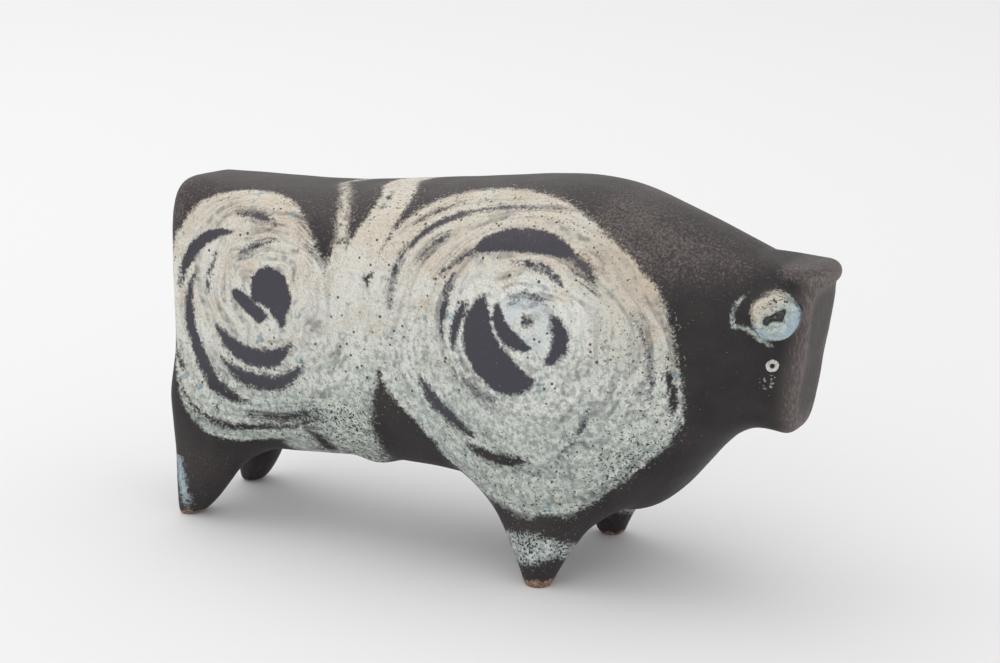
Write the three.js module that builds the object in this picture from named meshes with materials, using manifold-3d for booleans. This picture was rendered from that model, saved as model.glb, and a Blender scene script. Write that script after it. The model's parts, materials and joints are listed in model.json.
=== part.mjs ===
// A hollow stoneware bull, made the way a potter makes it: a barrel, two closing slabs, a head, four leg cones,
// two horn stubs and a few small pieces of clay, each formed alone and then luted to its neighbours with slip.
//
// Millimetres. +X runs from the rump to the face, +Y to the bull's left, +Z up.
// The origin is on the ground, in the middle of the bull's length and width.
import * as THREE from "three";
import { mergeVertices } from "three/addons/utils/BufferGeometryUtils.js";
import Module from "manifold-3d";

const wasm = await Module();
wasm.setup();

// The main sizes of the bull
const RUMP_X = -119.5; // the flat rump
const FACE_X = 114; // the leaning face, at the height of its middle
const BACK_HEIGHT = 131.5; // the highest point of the back, over the shoulder
const HALF_WIDTH = 41; // half the widest section, at the shoulder

// The outer form, as cross-sections from the rump to the muzzle. Each is a rounded box: how far it lies in front
// of the rump or behind the face, how far its top is below the highest point of the back, how high its belly is,
// how much slimmer it is on each side than the widest section, and how square it is (2 is an oval, 4 almost a box).
// A section with a wedge is wider at its top, and narrower at its bottom, by that share of its middle width.
// A section with a roll has a top that falls by that share of the way towards the bull's left.
const RUMP = { fore: 0, drop: 12, belly: 27.5, slimmer: 17.4, square: 4.5, roll: 0.115 };
const HAUNCH = { fore: 28.5, drop: 12, belly: 25.1, slimmer: 12.1, square: 3.4 };
const LOIN = { fore: 68.5, drop: 9.1, belly: 27.3, slimmer: 6.1, square: 2.7 };
const WAIST = { fore: 106.5, drop: 4, belly: 28.3, slimmer: 5, square: 2.7 };
const SHOULDER = { fore: 138.5, drop: 0.2, belly: 25.6, slimmer: 0, square: 2.6 };
const WITHERS = { fore: 160.5, drop: 0.3, belly: 24.4, slimmer: 1, square: 2.5 };
const BREAST = { fore: 180.5, drop: 4.7, belly: 26.8, slimmer: 6.5, square: 2.3 };
const NECK = { behind: 35, drop: 10.6, belly: 46.6, slimmer: 14.7, square: 2.3 };
const THROAT = { behind: 20, drop: 17, belly: 57.4, slimmer: 21, square: 2.7, wedge: 0.06 };
const CHEEK = { behind: 8, drop: 20.7, belly: 56.4, slimmer: 27.2, square: 3.4, wedge: 0.16 };
const MUZZLE = { behind: -6, drop: 16.7, belly: 57, slimmer: 28.3, square: 3.8, wedge: 0.2 };

// Clay
const WALL = 5.5;
const SLIP_GAP = 0.3; // the slip between two luted pieces

// The flat slabs that close the two ends
const RUMP_SLAB = { thickness: 7, round: 4 };
const FACE_SLAB = { thickness: 4.2, round: 4.5, drop: 24.5 };
const FACE_LEAN = THREE.MathUtils.degToRad(7.8); // the forehead leans out over the chin

// The poll flares out over the face as a thin lip with a round edge.
const LIP = { behind: 8, drop: 20.7, reach: 12, halfWidth: 11.5, halfThickness: 2.1, blend: 5 };
const LIP_DROOP = THREE.MathUtils.degToRad(3);

// Legs: cones that swell from the foot into the haunch or the shoulder. A foot stands that far in from the widest
// section. At the height root.z a leg is an oval of half sizes long and wide, and it runs on inside the body up to
// the height top, where it rounds off.
const FOOT = { radius: 4.6, round: 3, worn: 0.9 }; // worn is what the flat sole takes off the round foot
const LEG_BLEND = 12;
const LEG_TOP_ROUND = 9;
const LEG_JOINT_Z = 21.5; // where a leg cone is luted to its stub under the body
const REAR_LEG = {
  foot: { fore: 2.5, inward: 20.4 },
  root: { fore: 15.4, inward: 23.5, z: 40, long: 19.2, wide: 13 },
  swell: 0.7,
  top: 52,
  leftSlimmer: 3.2, // the left cone is rolled that much slimmer on each side, and its root lies as much further back
};
const FRONT_LEG = {
  foot: { fore: 146.3, inward: 12.2 },
  root: { fore: 147.2, inward: 18.5, z: 42, long: 31, wide: 13.5 },
  swell: 1.2,
  top: 56,
  leftSlimmer: 0,
};

// How far behind the face the head is luted to the barrel
const HEAD_LENGTH = 42;

// Small pieces on the head. A horn is a short blunt stub with a groove pressed into its end with a finger, and the
// left one is shorter than the right. An eye is a ring of slip in a shallow pocket, straight below its horn.
const HORN = { behind: 11, drop: 32.3, radius: 7.6, length: 8, leftShorter: 3.2, root: 4, round: 2.6 };
const GROOVE = { halfLength: 4.6, halfWidth: 1.8, depth: 3, turn: THREE.MathUtils.degToRad(35) };
const EYE = { behind: 11.5, belowHorn: 16.9, radius: 2.1, hole: 0.9, thickness: 1.3, pocket: 1 };

// A long bead of clay pressed into the belly. It sits that far to the right of the middle, and stands proud.
const NUB = { fore: 78, aside: 14.5, halfLength: 7.5, halfWidth: 4.8, halfHeight: 4, proud: 1.9 };

// The pin hole under the belly through which the hollow breathes in the kiln
const VENT = { fore: 41.5, radius: 1.5, facets: 12 };

// How fine the facets are on each kind of piece
const BODY_STEP = 6.5;
const HEAD_STEP = 3.4;
const FACE_STEP = 1.5;
const LEG_STEP = 2.8;
const HOLLOW_STEP = 9;
const TURNED_FACETS = 24;
const CORNER_FACETS = 4;

// How closely a point is moved onto the form
const PROBE = 0.05; // the slope of the form is measured over this distance to each side
const SETTLE_ROUNDS = 3;
const SEAT_ROUNDS = 8;
const LEAST_SLOPE = 0.05;
const STRAY = 0.15; // the share of a step by which a vertex may leave its own cell
const TINY = 1e-3; // keeps a division away from zero
const MERGE = 1e-4; // vertices this near are one

const SECTIONS = [
  ...[RUMP, HAUNCH, LOIN, WAIST, SHOULDER, WITHERS, BREAST].map((s) => ({ ...s, x: RUMP_X + s.fore })),
  ...[NECK, THROAT, CHEEK, MUZZLE].map((s) => ({ ...s, x: FACE_X - s.behind })),
];

// The planes at which the pieces are luted, and room beyond the clay on every side
const HALF_GAP = SLIP_GAP / 2;
const RUMP_JOINT_X = RUMP_X + RUMP_SLAB.thickness;
const NECK_JOINT_X = FACE_X - HEAD_LENGTH;
const ROOM = 10;
const BACK_X = RUMP_X - ROOM;
const NOSE_X = FACE_X - LIP.behind + LIP.reach + ROOM;
const WIDE = HALF_WIDTH + ROOM;
const HIGH = BACK_HEIGHT + ROOM;

// A smooth curve through [x, value] points: a natural cubic spline.
function spline(points) {
  const n = points.length;
  const h = points.slice(1).map((p, i) => p[0] - points[i][0]);
  const slope = h.map((width, i) => (points[i + 1][1] - points[i][1]) / width);
  const bend = new Array(n).fill(0);
  const ratio = new Array(n).fill(0);
  for (let i = 1; i < n - 1; i++) {
    const pivot = 2 * (h[i - 1] + h[i]) - h[i - 1] * ratio[i - 1];
    ratio[i] = h[i] / pivot;
    bend[i] = (6 * (slope[i] - slope[i - 1]) - h[i - 1] * bend[i - 1]) / pivot;
  }
  for (let i = n - 2; i > 0; i--) bend[i] -= ratio[i] * bend[i + 1];
  return (x) => {
    const at = THREE.MathUtils.clamp(x, points[0][0], points[n - 1][0]);
    let i = 0;
    while (i < n - 2 && at > points[i + 1][0]) i++;
    const a = (points[i + 1][0] - at) / h[i];
    const b = 1 - a;
    const curve = (a ** 3 - a) * bend[i] + (b ** 3 - b) * bend[i + 1];
    return a * points[i][1] + b * points[i + 1][1] + (curve * h[i] ** 2) / 6;
  };
}

const curveOf = (measure) => spline(SECTIONS.map((s) => [s.x, measure(s)]));
const topAt = curveOf((s) => BACK_HEIGHT - s.drop);
const bellyAt = curveOf((s) => s.belly);
const halfWidthAt = curveOf((s) => HALF_WIDTH - s.slimmer);
const squareAt = curveOf((s) => s.square);
const wedgeAt = curveOf((s) => s.wedge ?? 0);
const rollAt = curveOf((s) => s.roll ?? 0);

// The form is a field: a number at each point of space, below 0 inside the clay and above 0 outside it. It grows
// by about 1 for each millimetre from the surface.

// Two forms joined, with a fillet of that radius between them.
function join(a, b, radius) {
  const corner = Math.hypot(Math.max(radius - a, 0), Math.max(radius - b, 0));
  return Math.max(radius, Math.min(a, b)) - corner;
}

// A form cut by another, with its new edge rounded to that radius.
function trim(a, b, radius) {
  const corner = Math.hypot(Math.max(radius + a, 0), Math.max(radius + b, 0));
  return Math.min(-radius, Math.max(a, b)) + corner;
}

// Distance to a rounded box of half sizes (halfU, halfV), along the ray from its middle.
function roundedBox(u, v, halfU, halfV, square) {
  const share = (Math.abs(u / halfU) ** square + Math.abs(v / halfV) ** square) ** (1 / square);
  return Math.hypot(u, v) * (1 - 1 / Math.max(share, TINY));
}

function trunk(x, y, z) {
  const middleZ = (topAt(x) + bellyAt(x)) / 2;
  const halfHeight = (topAt(x) - bellyAt(x)) / 2;
  const climb = THREE.MathUtils.clamp((z - middleZ) / halfHeight, -1, 1);
  const halfWidth = halfWidthAt(x) * (1 + wedgeAt(x) * climb);
  const rolled = rollAt(x) * y * Math.max(climb, 0);
  return roundedBox(y, z - middleZ + rolled, halfWidth, halfHeight, squareAt(x));
}

function leg(x, y, z, { foot, root, swell, top, leftSlimmer }) {
  const slimmer = leftSlimmer * THREE.MathUtils.clamp(0.5 + y / (2 * LEG_BLEND), 0, 1);
  const up = Math.max(z / root.z, 0);
  const grown = Math.min(up, 1) ** swell;
  const middleX = RUMP_X + THREE.MathUtils.lerp(foot.fore, root.fore - slimmer, grown);
  const middleY = HALF_WIDTH - THREE.MathUtils.lerp(foot.inward, root.inward, up);
  const halfLong = THREE.MathUtils.lerp(FOOT.radius, root.long - slimmer, grown);
  const halfWide = THREE.MathUtils.lerp(FOOT.radius, root.wide, grown);
  return trim(roundedBox(x - middleX, Math.abs(y) - middleY, halfLong, halfWide, 2), z - top, LEG_TOP_ROUND);
}

// Distance in front of the leaning face.
const FACE_Z = BACK_HEIGHT - FACE_SLAB.drop;
const beforeFace = (x, z) => (x - FACE_X) * Math.cos(FACE_LEAN) - (z - FACE_Z) * Math.sin(FACE_LEAN);

const LIP_X = FACE_X - LIP.behind;
const LIP_Z = BACK_HEIGHT - LIP.drop;

function lip(x, y, z) {
  const u = (x - LIP_X) * Math.cos(LIP_DROOP) - (z - LIP_Z) * Math.sin(LIP_DROOP);
  const w = (x - LIP_X) * Math.sin(LIP_DROOP) + (z - LIP_Z) * Math.cos(LIP_DROOP);
  const plan = roundedBox(u, y, LIP.reach - LIP.halfThickness, LIP.halfWidth - LIP.halfThickness, 2);
  return Math.hypot(Math.max(plan, 0), w) - LIP.halfThickness;
}

// The whole bull, without its small pieces. The feet run on below the ground, where they are cut flat.
function bull(x, y, z) {
  let d = trunk(x, y, z);
  d = join(d, leg(x, y, z, REAR_LEG), LEG_BLEND);
  d = join(d, leg(x, y, z, FRONT_LEG), LEG_BLEND);
  d = trim(d, RUMP_X - x, RUMP_SLAB.round);
  d = trim(d, beforeFace(x, z), FACE_SLAB.round);
  d = join(d, lip(x, y, z), LIP.blend);
  return trim(d, -z - FOOT.worn, FOOT.round);
}

// The direction in which the field grows.
function uphill(field, p) {
  const g = new THREE.Vector3();
  for (const axis of ["x", "y", "z"]) {
    const ahead = p.clone();
    const behind = p.clone();
    ahead[axis] += PROBE;
    behind[axis] -= PROBE;
    g[axis] = (field(ahead.x, ahead.y, ahead.z) - field(behind.x, behind.y, behind.z)) / (2 * PROBE);
  }
  return g;
}

// Moves a point onto the surface of the form.
function settle(field, p, rounds) {
  for (let i = 0; i < rounds; i++) {
    const g = uphill(field, p);
    p.addScaledVector(g, -field(p.x, p.y, p.z) / Math.max(g.lengthSq(), LEAST_SLOPE));
  }
  return p;
}

// Where the corners of a face of the grid lie inside and outside by turns, a net would touch itself there. This
// takes the outside corner that is nearer the surface to the inside, until no such face is left.
function partTouching(value, [nx, ny, nz], at) {
  let changed = true;
  while (changed) {
    changed = false;
    for (let i = 1; i < nx - 1; i++)
      for (let j = 1; j < ny - 1; j++)
        for (let k = 1; k < nz - 1; k++) {
          const faces = [
            [at(i, j, k), at(i + 1, j, k), at(i + 1, j + 1, k), at(i, j + 1, k)],
            [at(i, j, k), at(i, j + 1, k), at(i, j + 1, k + 1), at(i, j, k + 1)],
            [at(i, j, k), at(i + 1, j, k), at(i + 1, j, k + 1), at(i, j, k + 1)],
          ];
          for (const face of faces) {
            const inside = face.map((n) => value[n] < 0);
            if (inside[0] !== inside[2] || inside[1] !== inside[3] || inside[0] === inside[1]) continue;
            const outside = face.filter((n) => value[n] >= 0).sort((a, b) => value[a] - value[b]);
            value[outside[0]] = -TINY;
            changed = true;
          }
        }
  }
}

// A closed net of four-sided faces over the part of a form that lies in a box: one vertex in each cell of a grid
// that the surface passes through, moved onto the surface near its cell. The net closes just inside the box.
function netOver(field, box, step) {
  const size = box.getSize(new THREE.Vector3());
  const count = ["x", "y", "z"].map((axis) => Math.ceil(size[axis] / step) + 1);
  const [nx, ny, nz] = count;
  const at = (i, j, k) => (i * ny + j) * nz + k;
  const value = new Float64Array(nx * ny * nz);
  for (let i = 0; i < nx; i++)
    for (let j = 0; j < ny; j++)
      for (let k = 0; k < nz; k++) {
        const edge = [i, j, k].some((n, axis) => n === 0 || n === count[axis] - 1);
        const d = field(box.min.x + i * step, box.min.y + j * step, box.min.z + k * step);
        value[at(i, j, k)] = edge ? Math.max(d, step / 2) : d;
      }
  partTouching(value, count, at);

  const vertexOf = new Map();
  const vertices = [];
  const corners = [0, 1, 2, 3, 4, 5, 6, 7].map((n) => [n >> 2, (n >> 1) & 1, n & 1]);
  for (let i = 0; i < nx - 1; i++)
    for (let j = 0; j < ny - 1; j++)
      for (let k = 0; k < nz - 1; k++) {
        const middle = new THREE.Vector3();
        let crossings = 0;
        for (const a of corners)
          for (const axis of [0, 1, 2]) {
            if (a[axis]) continue;
            const b = a.slice();
            b[axis] = 1;
            const da = value[at(i + a[0], j + a[1], k + a[2])];
            const db = value[at(i + b[0], j + b[1], k + b[2])];
            if (da < 0 === db < 0) continue;
            const crossing = a.slice();
            crossing[axis] = da / (da - db);
            middle.add(new THREE.Vector3(...crossing));
            crossings++;
          }
        if (!crossings) continue;
        const low = new THREE.Vector3(i, j, k).multiplyScalar(step).add(box.min);
        const cell = new THREE.Box3(low, low.clone().addScalar(step)).expandByScalar(STRAY * step);
        middle.multiplyScalar(step / crossings).add(low);
        vertexOf.set(at(i, j, k), vertices.length / 3);
        vertices.push(...settle(field, middle, SETTLE_ROUNDS).clamp(cell.min, cell.max).toArray());
      }

  const index = [];
  for (let i = 0; i < nx - 1; i++)
    for (let j = 0; j < ny - 1; j++)
      for (let k = 0; k < nz - 1; k++)
        for (const axis of [0, 1, 2]) {
          const next = [i, j, k];
          next[axis]++;
          const inside = value[at(i, j, k)] < 0;
          if (inside === value[at(...next)] < 0) continue;
          const u = [0, 0, 0];
          const v = [0, 0, 0];
          u[(axis + 1) % 3] = 1;
          v[(axis + 2) % 3] = 1;
          const back = (a, b) => [i, j, k].map((n, q) => n - a * u[q] - b * v[q]);
          const corner = (a, b) => vertexOf.get(at(...back(a, b)));
          const quad = [corner(1, 1), corner(0, 1), corner(0, 0), corner(1, 0)];
          if (!inside) quad.reverse();
          index.push(quad[0], quad[1], quad[2], quad[0], quad[2], quad[3]);
        }
  const geometry = new THREE.BufferGeometry();
  geometry.setAttribute("position", new THREE.Float32BufferAttribute(vertices, 3));
  return geometry.setIndex(index);
}

// Solids, for joining and cutting
function solidOf(geometry) {
  const plain = geometry.clone();
  plain.deleteAttribute("normal");
  plain.deleteAttribute("uv");
  const merged = mergeVertices(plain, MERGE);
  const mesh = new wasm.Mesh({
    numProp: 3,
    vertProperties: merged.attributes.position.array,
    triVerts: new Uint32Array(merged.index.array),
  });
  return new wasm.Manifold(mesh);
}

function geometryOf(solid) {
  const mesh = solid.getMesh();
  const geometry = new THREE.BufferGeometry();
  geometry.setAttribute("position", new THREE.BufferAttribute(new Float32Array(mesh.vertProperties), 3));
  geometry.setIndex(new THREE.BufferAttribute(new Uint32Array(mesh.triVerts), 1));
  geometry.computeVertexNormals();
  return geometry;
}

function boxOf(x0, x1, y0, y1, z0, z1) {
  return new THREE.Box3(new THREE.Vector3(x0, y0, z0), new THREE.Vector3(x1, y1, z1));
}

function blockOf(box) {
  const size = box.getSize(new THREE.Vector3());
  const middle = box.getCenter(new THREE.Vector3());
  return solidOf(new THREE.BoxGeometry(size.x, size.y, size.z).translate(middle.x, middle.y, middle.z));
}

// Everything behind the leaning plane that lies this far behind the face.
function behindFace(depth) {
  const far = 2 * (NOSE_X - BACK_X);
  const block = new THREE.BoxGeometry(far, far, far).translate(-far / 2 - depth, 0, 0);
  return solidOf(block.rotateY(FACE_LEAN).translate(FACE_X, 0, FACE_Z));
}

// The part of the bull that lies in a box. The net is made a little wider, so that its closing faces are cut away.
function pieceOf(box, step) {
  const wide = box.clone().expandByScalar(2 * step);
  return solidOf(netOver(bull, wide, step)).intersect(blockOf(box));
}

// The one hollow inside the barrel and the head, a wall's thickness under the skin
const thinner = (x, y, z) => bull(x, y, z) + WALL;
const hollow = solidOf(netOver(thinner, boxOf(BACK_X, NOSE_X, -WIDE, WIDE, 0, HIGH), HOLLOW_STEP))
  .intersect(blockOf(boxOf(RUMP_JOINT_X, NOSE_X, -WIDE, WIDE, LEG_JOINT_Z + WALL, HIGH)))
  .intersect(behindFace(FACE_SLAB.thickness));

// Where a small piece sits: a frame on the skin, near a point, whose +Z points out of the clay.
function seatOn(x, y, z) {
  const point = settle(bull, new THREE.Vector3(x, y, z), SEAT_ROUNDS);
  const seat = new THREE.Object3D();
  seat.up.set(0, 0, 1);
  seat.lookAt(uphill(bull, point));
  seat.position.copy(point);
  seat.updateMatrix();
  return seat;
}

// A bead of clay, fattened all round where it is the pocket that the bead is pressed into
function bead({ fore, aside, halfLength, halfWidth, halfHeight, proud }, fatter = 0) {
  const x = RUMP_X + fore;
  const ball = new THREE.SphereGeometry(1, TURNED_FACETS, TURNED_FACETS / 2).rotateX(Math.PI / 2);
  ball.scale(halfLength + fatter, halfWidth + fatter, halfHeight + fatter).translate(0, 0, proud - halfHeight);
  return solidOf(ball.applyMatrix4(seatOn(x, -aside, bellyAt(x)).matrix));
}

function ventHole() {
  const x = RUMP_X + VENT.fore;
  const pin = new THREE.CylinderGeometry(VENT.radius, VENT.radius, 4 * WALL, VENT.facets);
  return solidOf(pin.rotateX(Math.PI / 2).translate(x, 0, bellyAt(x)));
}

// The barrel and the slab that closes it behind, before they are parted
const bodyBox = boxOf(BACK_X, NECK_JOINT_X - HALF_GAP, -WIDE, WIDE, LEG_JOINT_Z + HALF_GAP, HIGH);
const body = pieceOf(bodyBox, BODY_STEP);

function torsoBarrel() {
  return body
    .intersect(blockOf(boxOf(RUMP_JOINT_X + HALF_GAP, NOSE_X, -WIDE, WIDE, 0, HIGH)))
    .subtract(hollow)
    .subtract(ventHole())
    .subtract(bead(NUB, SLIP_GAP));
}

const rumpSlab = () => body.intersect(blockOf(boxOf(BACK_X, RUMP_JOINT_X - HALF_GAP, -WIDE, WIDE, 0, HIGH)));

function legCone({ foot, root }, side) {
  const back = RUMP_X + Math.min(foot.fore, root.fore) - root.long - ROOM;
  const front = RUMP_X + Math.max(foot.fore, root.fore) + root.long + ROOM;
  const [right, left] = side > 0 ? [0, WIDE] : [-WIDE, 0];
  return pieceOf(boxOf(back, front, right, left, 0, LEG_JOINT_Z - HALF_GAP), LEG_STEP);
}

// The head before its face is parted from it, in coarse facets for the shell and fine ones for the face
const headBox = boxOf(NECK_JOINT_X + HALF_GAP, NOSE_X, -WIDE, WIDE, LEG_JOINT_Z, HIGH);
const coarseHead = pieceOf(headBox, HEAD_STEP);
const fineHead = pieceOf(headBox, FACE_STEP);

// A turned solid that stands along +Z, from its profile as [radius, height] points.
function turned(profile) {
  const points = profile.map(([radius, height]) => new THREE.Vector2(radius, height));
  return new THREE.LatheGeometry(points, TURNED_FACETS).rotateX(Math.PI / 2);
}

const HORN_Z = BACK_HEIGHT - HORN.drop;
const seatOnHead = (x, z, side) => seatOn(x, side * halfWidthAt(x), z);
const hornSeat = (side) => seatOnHead(FACE_X - HORN.behind, HORN_Z, side);
const eyeSeat = (side) => seatOnHead(FACE_X - EYE.behind, HORN_Z - EYE.belowHorn, side);

function headShell() {
  const radius = EYE.radius + SLIP_GAP;
  const pocket = [
    [0, -EYE.pocket],
    [radius, -EYE.pocket],
    [radius, ROOM],
    [0, ROOM],
  ];
  let shell = coarseHead.subtract(hollow).intersect(behindFace(FACE_SLAB.thickness + HALF_GAP));
  for (const side of [-1, 1]) {
    shell = shell.subtract(solidOf(turned(pocket).applyMatrix4(eyeSeat(side).matrix)));
  }
  return shell;
}

const faceSlab = () => fineHead.subtract(behindFace(FACE_SLAB.thickness - HALF_GAP));

function eyeRing() {
  const bottom = SLIP_GAP - EYE.pocket;
  const top = bottom + EYE.thickness;
  return solidOf(
    turned([
      [EYE.hole, bottom],
      [EYE.radius, bottom],
      [EYE.radius, (bottom + top) / 2],
      [(EYE.radius + EYE.hole) / 2, top],
      [EYE.hole, (bottom + top) / 2],
      [EYE.hole, bottom],
    ]),
  );
}

// A horn, less what the head fills and the finger's groove. Both horns' grooves rise towards the face.
function hornStub(seat, side) {
  const { radius, root, round } = HORN;
  const length = HORN.length - (side > 0 ? HORN.leftShorter : 0);
  const profile = [
    [0, -root],
    [radius, -root],
  ];
  for (let i = 0; i <= CORNER_FACETS; i++) {
    const turn = (i / CORNER_FACETS) * (Math.PI / 2);
    profile.push([radius - round + round * Math.cos(turn), length - round + round * Math.sin(turn)]);
  }
  profile.push([0, length]);
  let stub = solidOf(turned(profile));
  const finger = new THREE.SphereGeometry(1, TURNED_FACETS, TURNED_FACETS / 2);
  finger.scale(GROOVE.halfLength, GROOVE.halfWidth, GROOVE.depth).rotateZ(-side * GROOVE.turn);
  stub = stub.subtract(solidOf(finger.translate(0, 0, length)));
  for (const skin of [coarseHead, fineHead]) {
    const lifted = geometryOf(skin).applyMatrix4(seat.matrix.clone().invert()).translate(0, 0, SLIP_GAP);
    stub = stub.subtract(solidOf(lifted));
  }
  return stub.decompose().sort((a, b) => b.volume() - a.volume())[0];
}

const glaze = (colour, roughness) => new THREE.MeshStandardMaterial({ color: colour, roughness, metalness: 0 });
const darkGlaze = () => glaze(0x332e2d, 0.55);
const paleGlaze = () => glaze(0xb4b9b0, 0.6);
const whiteSlip = () => glaze(0xdcded8, 0.65);

const model = new THREE.Group();
model.name = "stoneware_bull";

function add(name, solid, material, seat) {
  const mesh = new THREE.Mesh(geometryOf(solid), material);
  mesh.name = name;
  if (seat) {
    mesh.position.copy(seat.position);
    mesh.quaternion.copy(seat.quaternion);
  }
  model.add(mesh);
}

add("torso_barrel", torsoBarrel(), darkGlaze());
add("rump_slab", rumpSlab(), darkGlaze());
add("head_shell", headShell(), darkGlaze());
add("face_slab", faceSlab(), darkGlaze());
add("belly_nub", bead(NUB), darkGlaze());

for (const [flank, side] of [
  ["right", -1],
  ["left", 1],
]) {
  add("front_" + flank + "_leg", legCone(FRONT_LEG, side), darkGlaze());
  add("rear_" + flank + "_leg", legCone(REAR_LEG, side), darkGlaze());
  add(flank + "_horn", hornStub(hornSeat(side), side), paleGlaze(), hornSeat(side));
  add(flank + "_eye_ring", eyeRing(), whiteSlip(), eyeSeat(side));
}

export default model;
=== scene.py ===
# %% [markdown]
# # A stoneware bull with brushed glaze
# The real figure is a hollow clay body on four cone feet, glazed matte black-brown, with pale glaze
# brushed over its flank in two whorls. This notebook loads the solids of the part from model.glb,
# makes a finer skin from the same form, cuts that skin into the same pieces of clay, and paints the
# glaze.

# %% Load the imported part
import json
import math

import bpy
import numpy as np
from mathutils import Matrix, Vector

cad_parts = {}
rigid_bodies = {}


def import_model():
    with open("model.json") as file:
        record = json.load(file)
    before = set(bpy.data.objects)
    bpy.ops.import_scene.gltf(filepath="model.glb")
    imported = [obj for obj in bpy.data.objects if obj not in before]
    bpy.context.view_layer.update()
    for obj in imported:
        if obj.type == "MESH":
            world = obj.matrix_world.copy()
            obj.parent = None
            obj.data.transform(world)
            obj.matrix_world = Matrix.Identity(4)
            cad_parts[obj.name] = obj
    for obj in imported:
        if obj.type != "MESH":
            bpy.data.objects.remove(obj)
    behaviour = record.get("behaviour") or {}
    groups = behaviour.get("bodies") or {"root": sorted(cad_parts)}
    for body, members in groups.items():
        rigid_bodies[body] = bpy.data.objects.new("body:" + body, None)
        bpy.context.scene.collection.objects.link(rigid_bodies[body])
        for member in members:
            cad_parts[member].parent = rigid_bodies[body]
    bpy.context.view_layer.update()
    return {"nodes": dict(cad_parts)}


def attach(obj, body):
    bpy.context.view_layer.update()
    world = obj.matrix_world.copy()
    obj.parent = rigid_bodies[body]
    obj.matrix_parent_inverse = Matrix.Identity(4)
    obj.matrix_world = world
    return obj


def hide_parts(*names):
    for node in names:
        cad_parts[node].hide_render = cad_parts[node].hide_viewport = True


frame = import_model()
MM = 0.001
print("solids:", sorted(frame["nodes"]))

# %% [markdown]
# ## Camera
# The photograph looks at the right flank from a little in front and above. Both angles are measured round
# the bull, from straight out of its right flank, and a long lens keeps the legs upright.

# %% Set up the camera
CAMERA_AZIMUTH = 27.4
CAMERA_ELEVATION = 15.9
CAMERA_PLACE = Vector((0.4161, -0.8072, 0.3350))
LENS = 100.8
SENSOR = 36.0


def put_in_scene(name, data):
    """A new object in the scene with that mesh, lamp or camera."""
    piece = bpy.data.objects.new(name, data)
    bpy.context.scene.collection.objects.link(piece)
    return piece


camera = put_in_scene("camera", bpy.data.cameras.new("camera"))
camera.data.lens = LENS
camera.data.sensor_width = SENSOR
camera.location = CAMERA_PLACE
camera.rotation_euler = (math.radians(90 - CAMERA_ELEVATION), 0, math.radians(CAMERA_AZIMUTH))
bpy.context.scene.camera = camera
print("camera at", tuple(round(c, 3) for c in camera.location))

# %% [markdown]
# ## Node helpers
# A material is a small graph of nodes. These helpers let a graph read like a formula. The output of a node
# is wrapped as a value, and a sum or a product of values becomes a math node. A plain number or colour is
# typed straight into its socket. All patterns are sized in millimetres.

# %% Write the node helpers
def fill(node, sockets):
    """Fills input sockets by name or number: a value is linked, and a plain number or colour is typed in."""
    for name, value in sockets.items():
        socket = node.inputs[name]
        if isinstance(value, Value):
            socket.id_data.links.new(value.socket, socket)
        elif socket.type == "RGBA":
            socket.default_value = (*value[:3], 1.0)
        else:
            socket.default_value = value


def add_node(tree, kind, sockets=None, **settings):
    """Adds a node, sets its options, fills its inputs and gives its outputs by name and by number."""
    node = tree.nodes.new(kind)
    for option, value in settings.items():
        setattr(node, option, value)
    fill(node, sockets or {})
    outputs = {}
    for number, socket in enumerate(node.outputs):
        outputs[number] = Value(socket)
        outputs.setdefault(socket.name, outputs[number])
    return outputs


class Value:
    """The output of a node."""

    def __init__(self, socket):
        self.socket = socket
        self.tree = socket.id_data

    def calc(self, operation, other, clamp=False):
        sockets = {0: self, 1: other}
        return add_node(self.tree, "ShaderNodeMath", sockets, operation=operation, use_clamp=clamp)[0]

    def __add__(self, other):
        return self.calc("ADD", other)

    def __sub__(self, other):
        return self.calc("SUBTRACT", other)

    def __mul__(self, other):
        return self.calc("MULTIPLY", other)

    def __rsub__(self, number):
        return add_node(self.tree, "ShaderNodeMath", {0: number, 1: self}, operation="SUBTRACT")[0]


def scaled(vector, factors):
    return add_node(vector.tree, "ShaderNodeVectorMath", {0: vector, 1: factors}, operation="MULTIPLY")[0]


def ramp(value, low, high, low_gives=0.0, high_gives=1.0):
    """Goes smoothly from low_gives to high_gives as value goes from low to high."""
    sockets = {"Value": value, "From Min": low, "From Max": high, "To Min": low_gives, "To Max": high_gives}
    return add_node(value.tree, "ShaderNodeMapRange", sockets, interpolation_type="SMOOTHSTEP")[0]


def noise(place, size, detail=2.0, rough=0.5):
    """Cloudy pattern whose blots are about that many millimetres across, from 0 to 1."""
    sockets = {"Vector": place, "Scale": 1 / size, "Detail": detail, "Roughness": rough}
    return add_node(place.tree, "ShaderNodeTexNoise", sockets)["Fac"]


def scattered(place, size):
    """Cells about that many millimetres across: the distance to the middle, and three dice for each cell."""
    cells = add_node(place.tree, "ShaderNodeTexVoronoi", {"Vector": place, "Scale": 1 / size})
    return cells["Distance"], add_node(place.tree, "ShaderNodeSeparateColor", {0: cells["Color"]})


def blend(factor, first, second):
    """Colour mix: the first at factor 0 and the second at 1."""
    return add_node(factor.tree, "ShaderNodeMix", {0: factor, 6: first, 7: second}, data_type="RGBA")[2]


def blend_value(factor, first, second):
    return add_node(factor.tree, "ShaderNodeMix", {0: factor, 2: first, 3: second}, data_type="FLOAT")[0]


def painted(tree, name):
    """A value or a vector that was painted onto the mesh point by point."""
    return add_node(tree, "ShaderNodeAttribute", attribute_name=name, attribute_type="GEOMETRY")


SOCKET_KINDS = {"Place": "Vector", "Brush": "Vector", "Color": "Color"}


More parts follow.
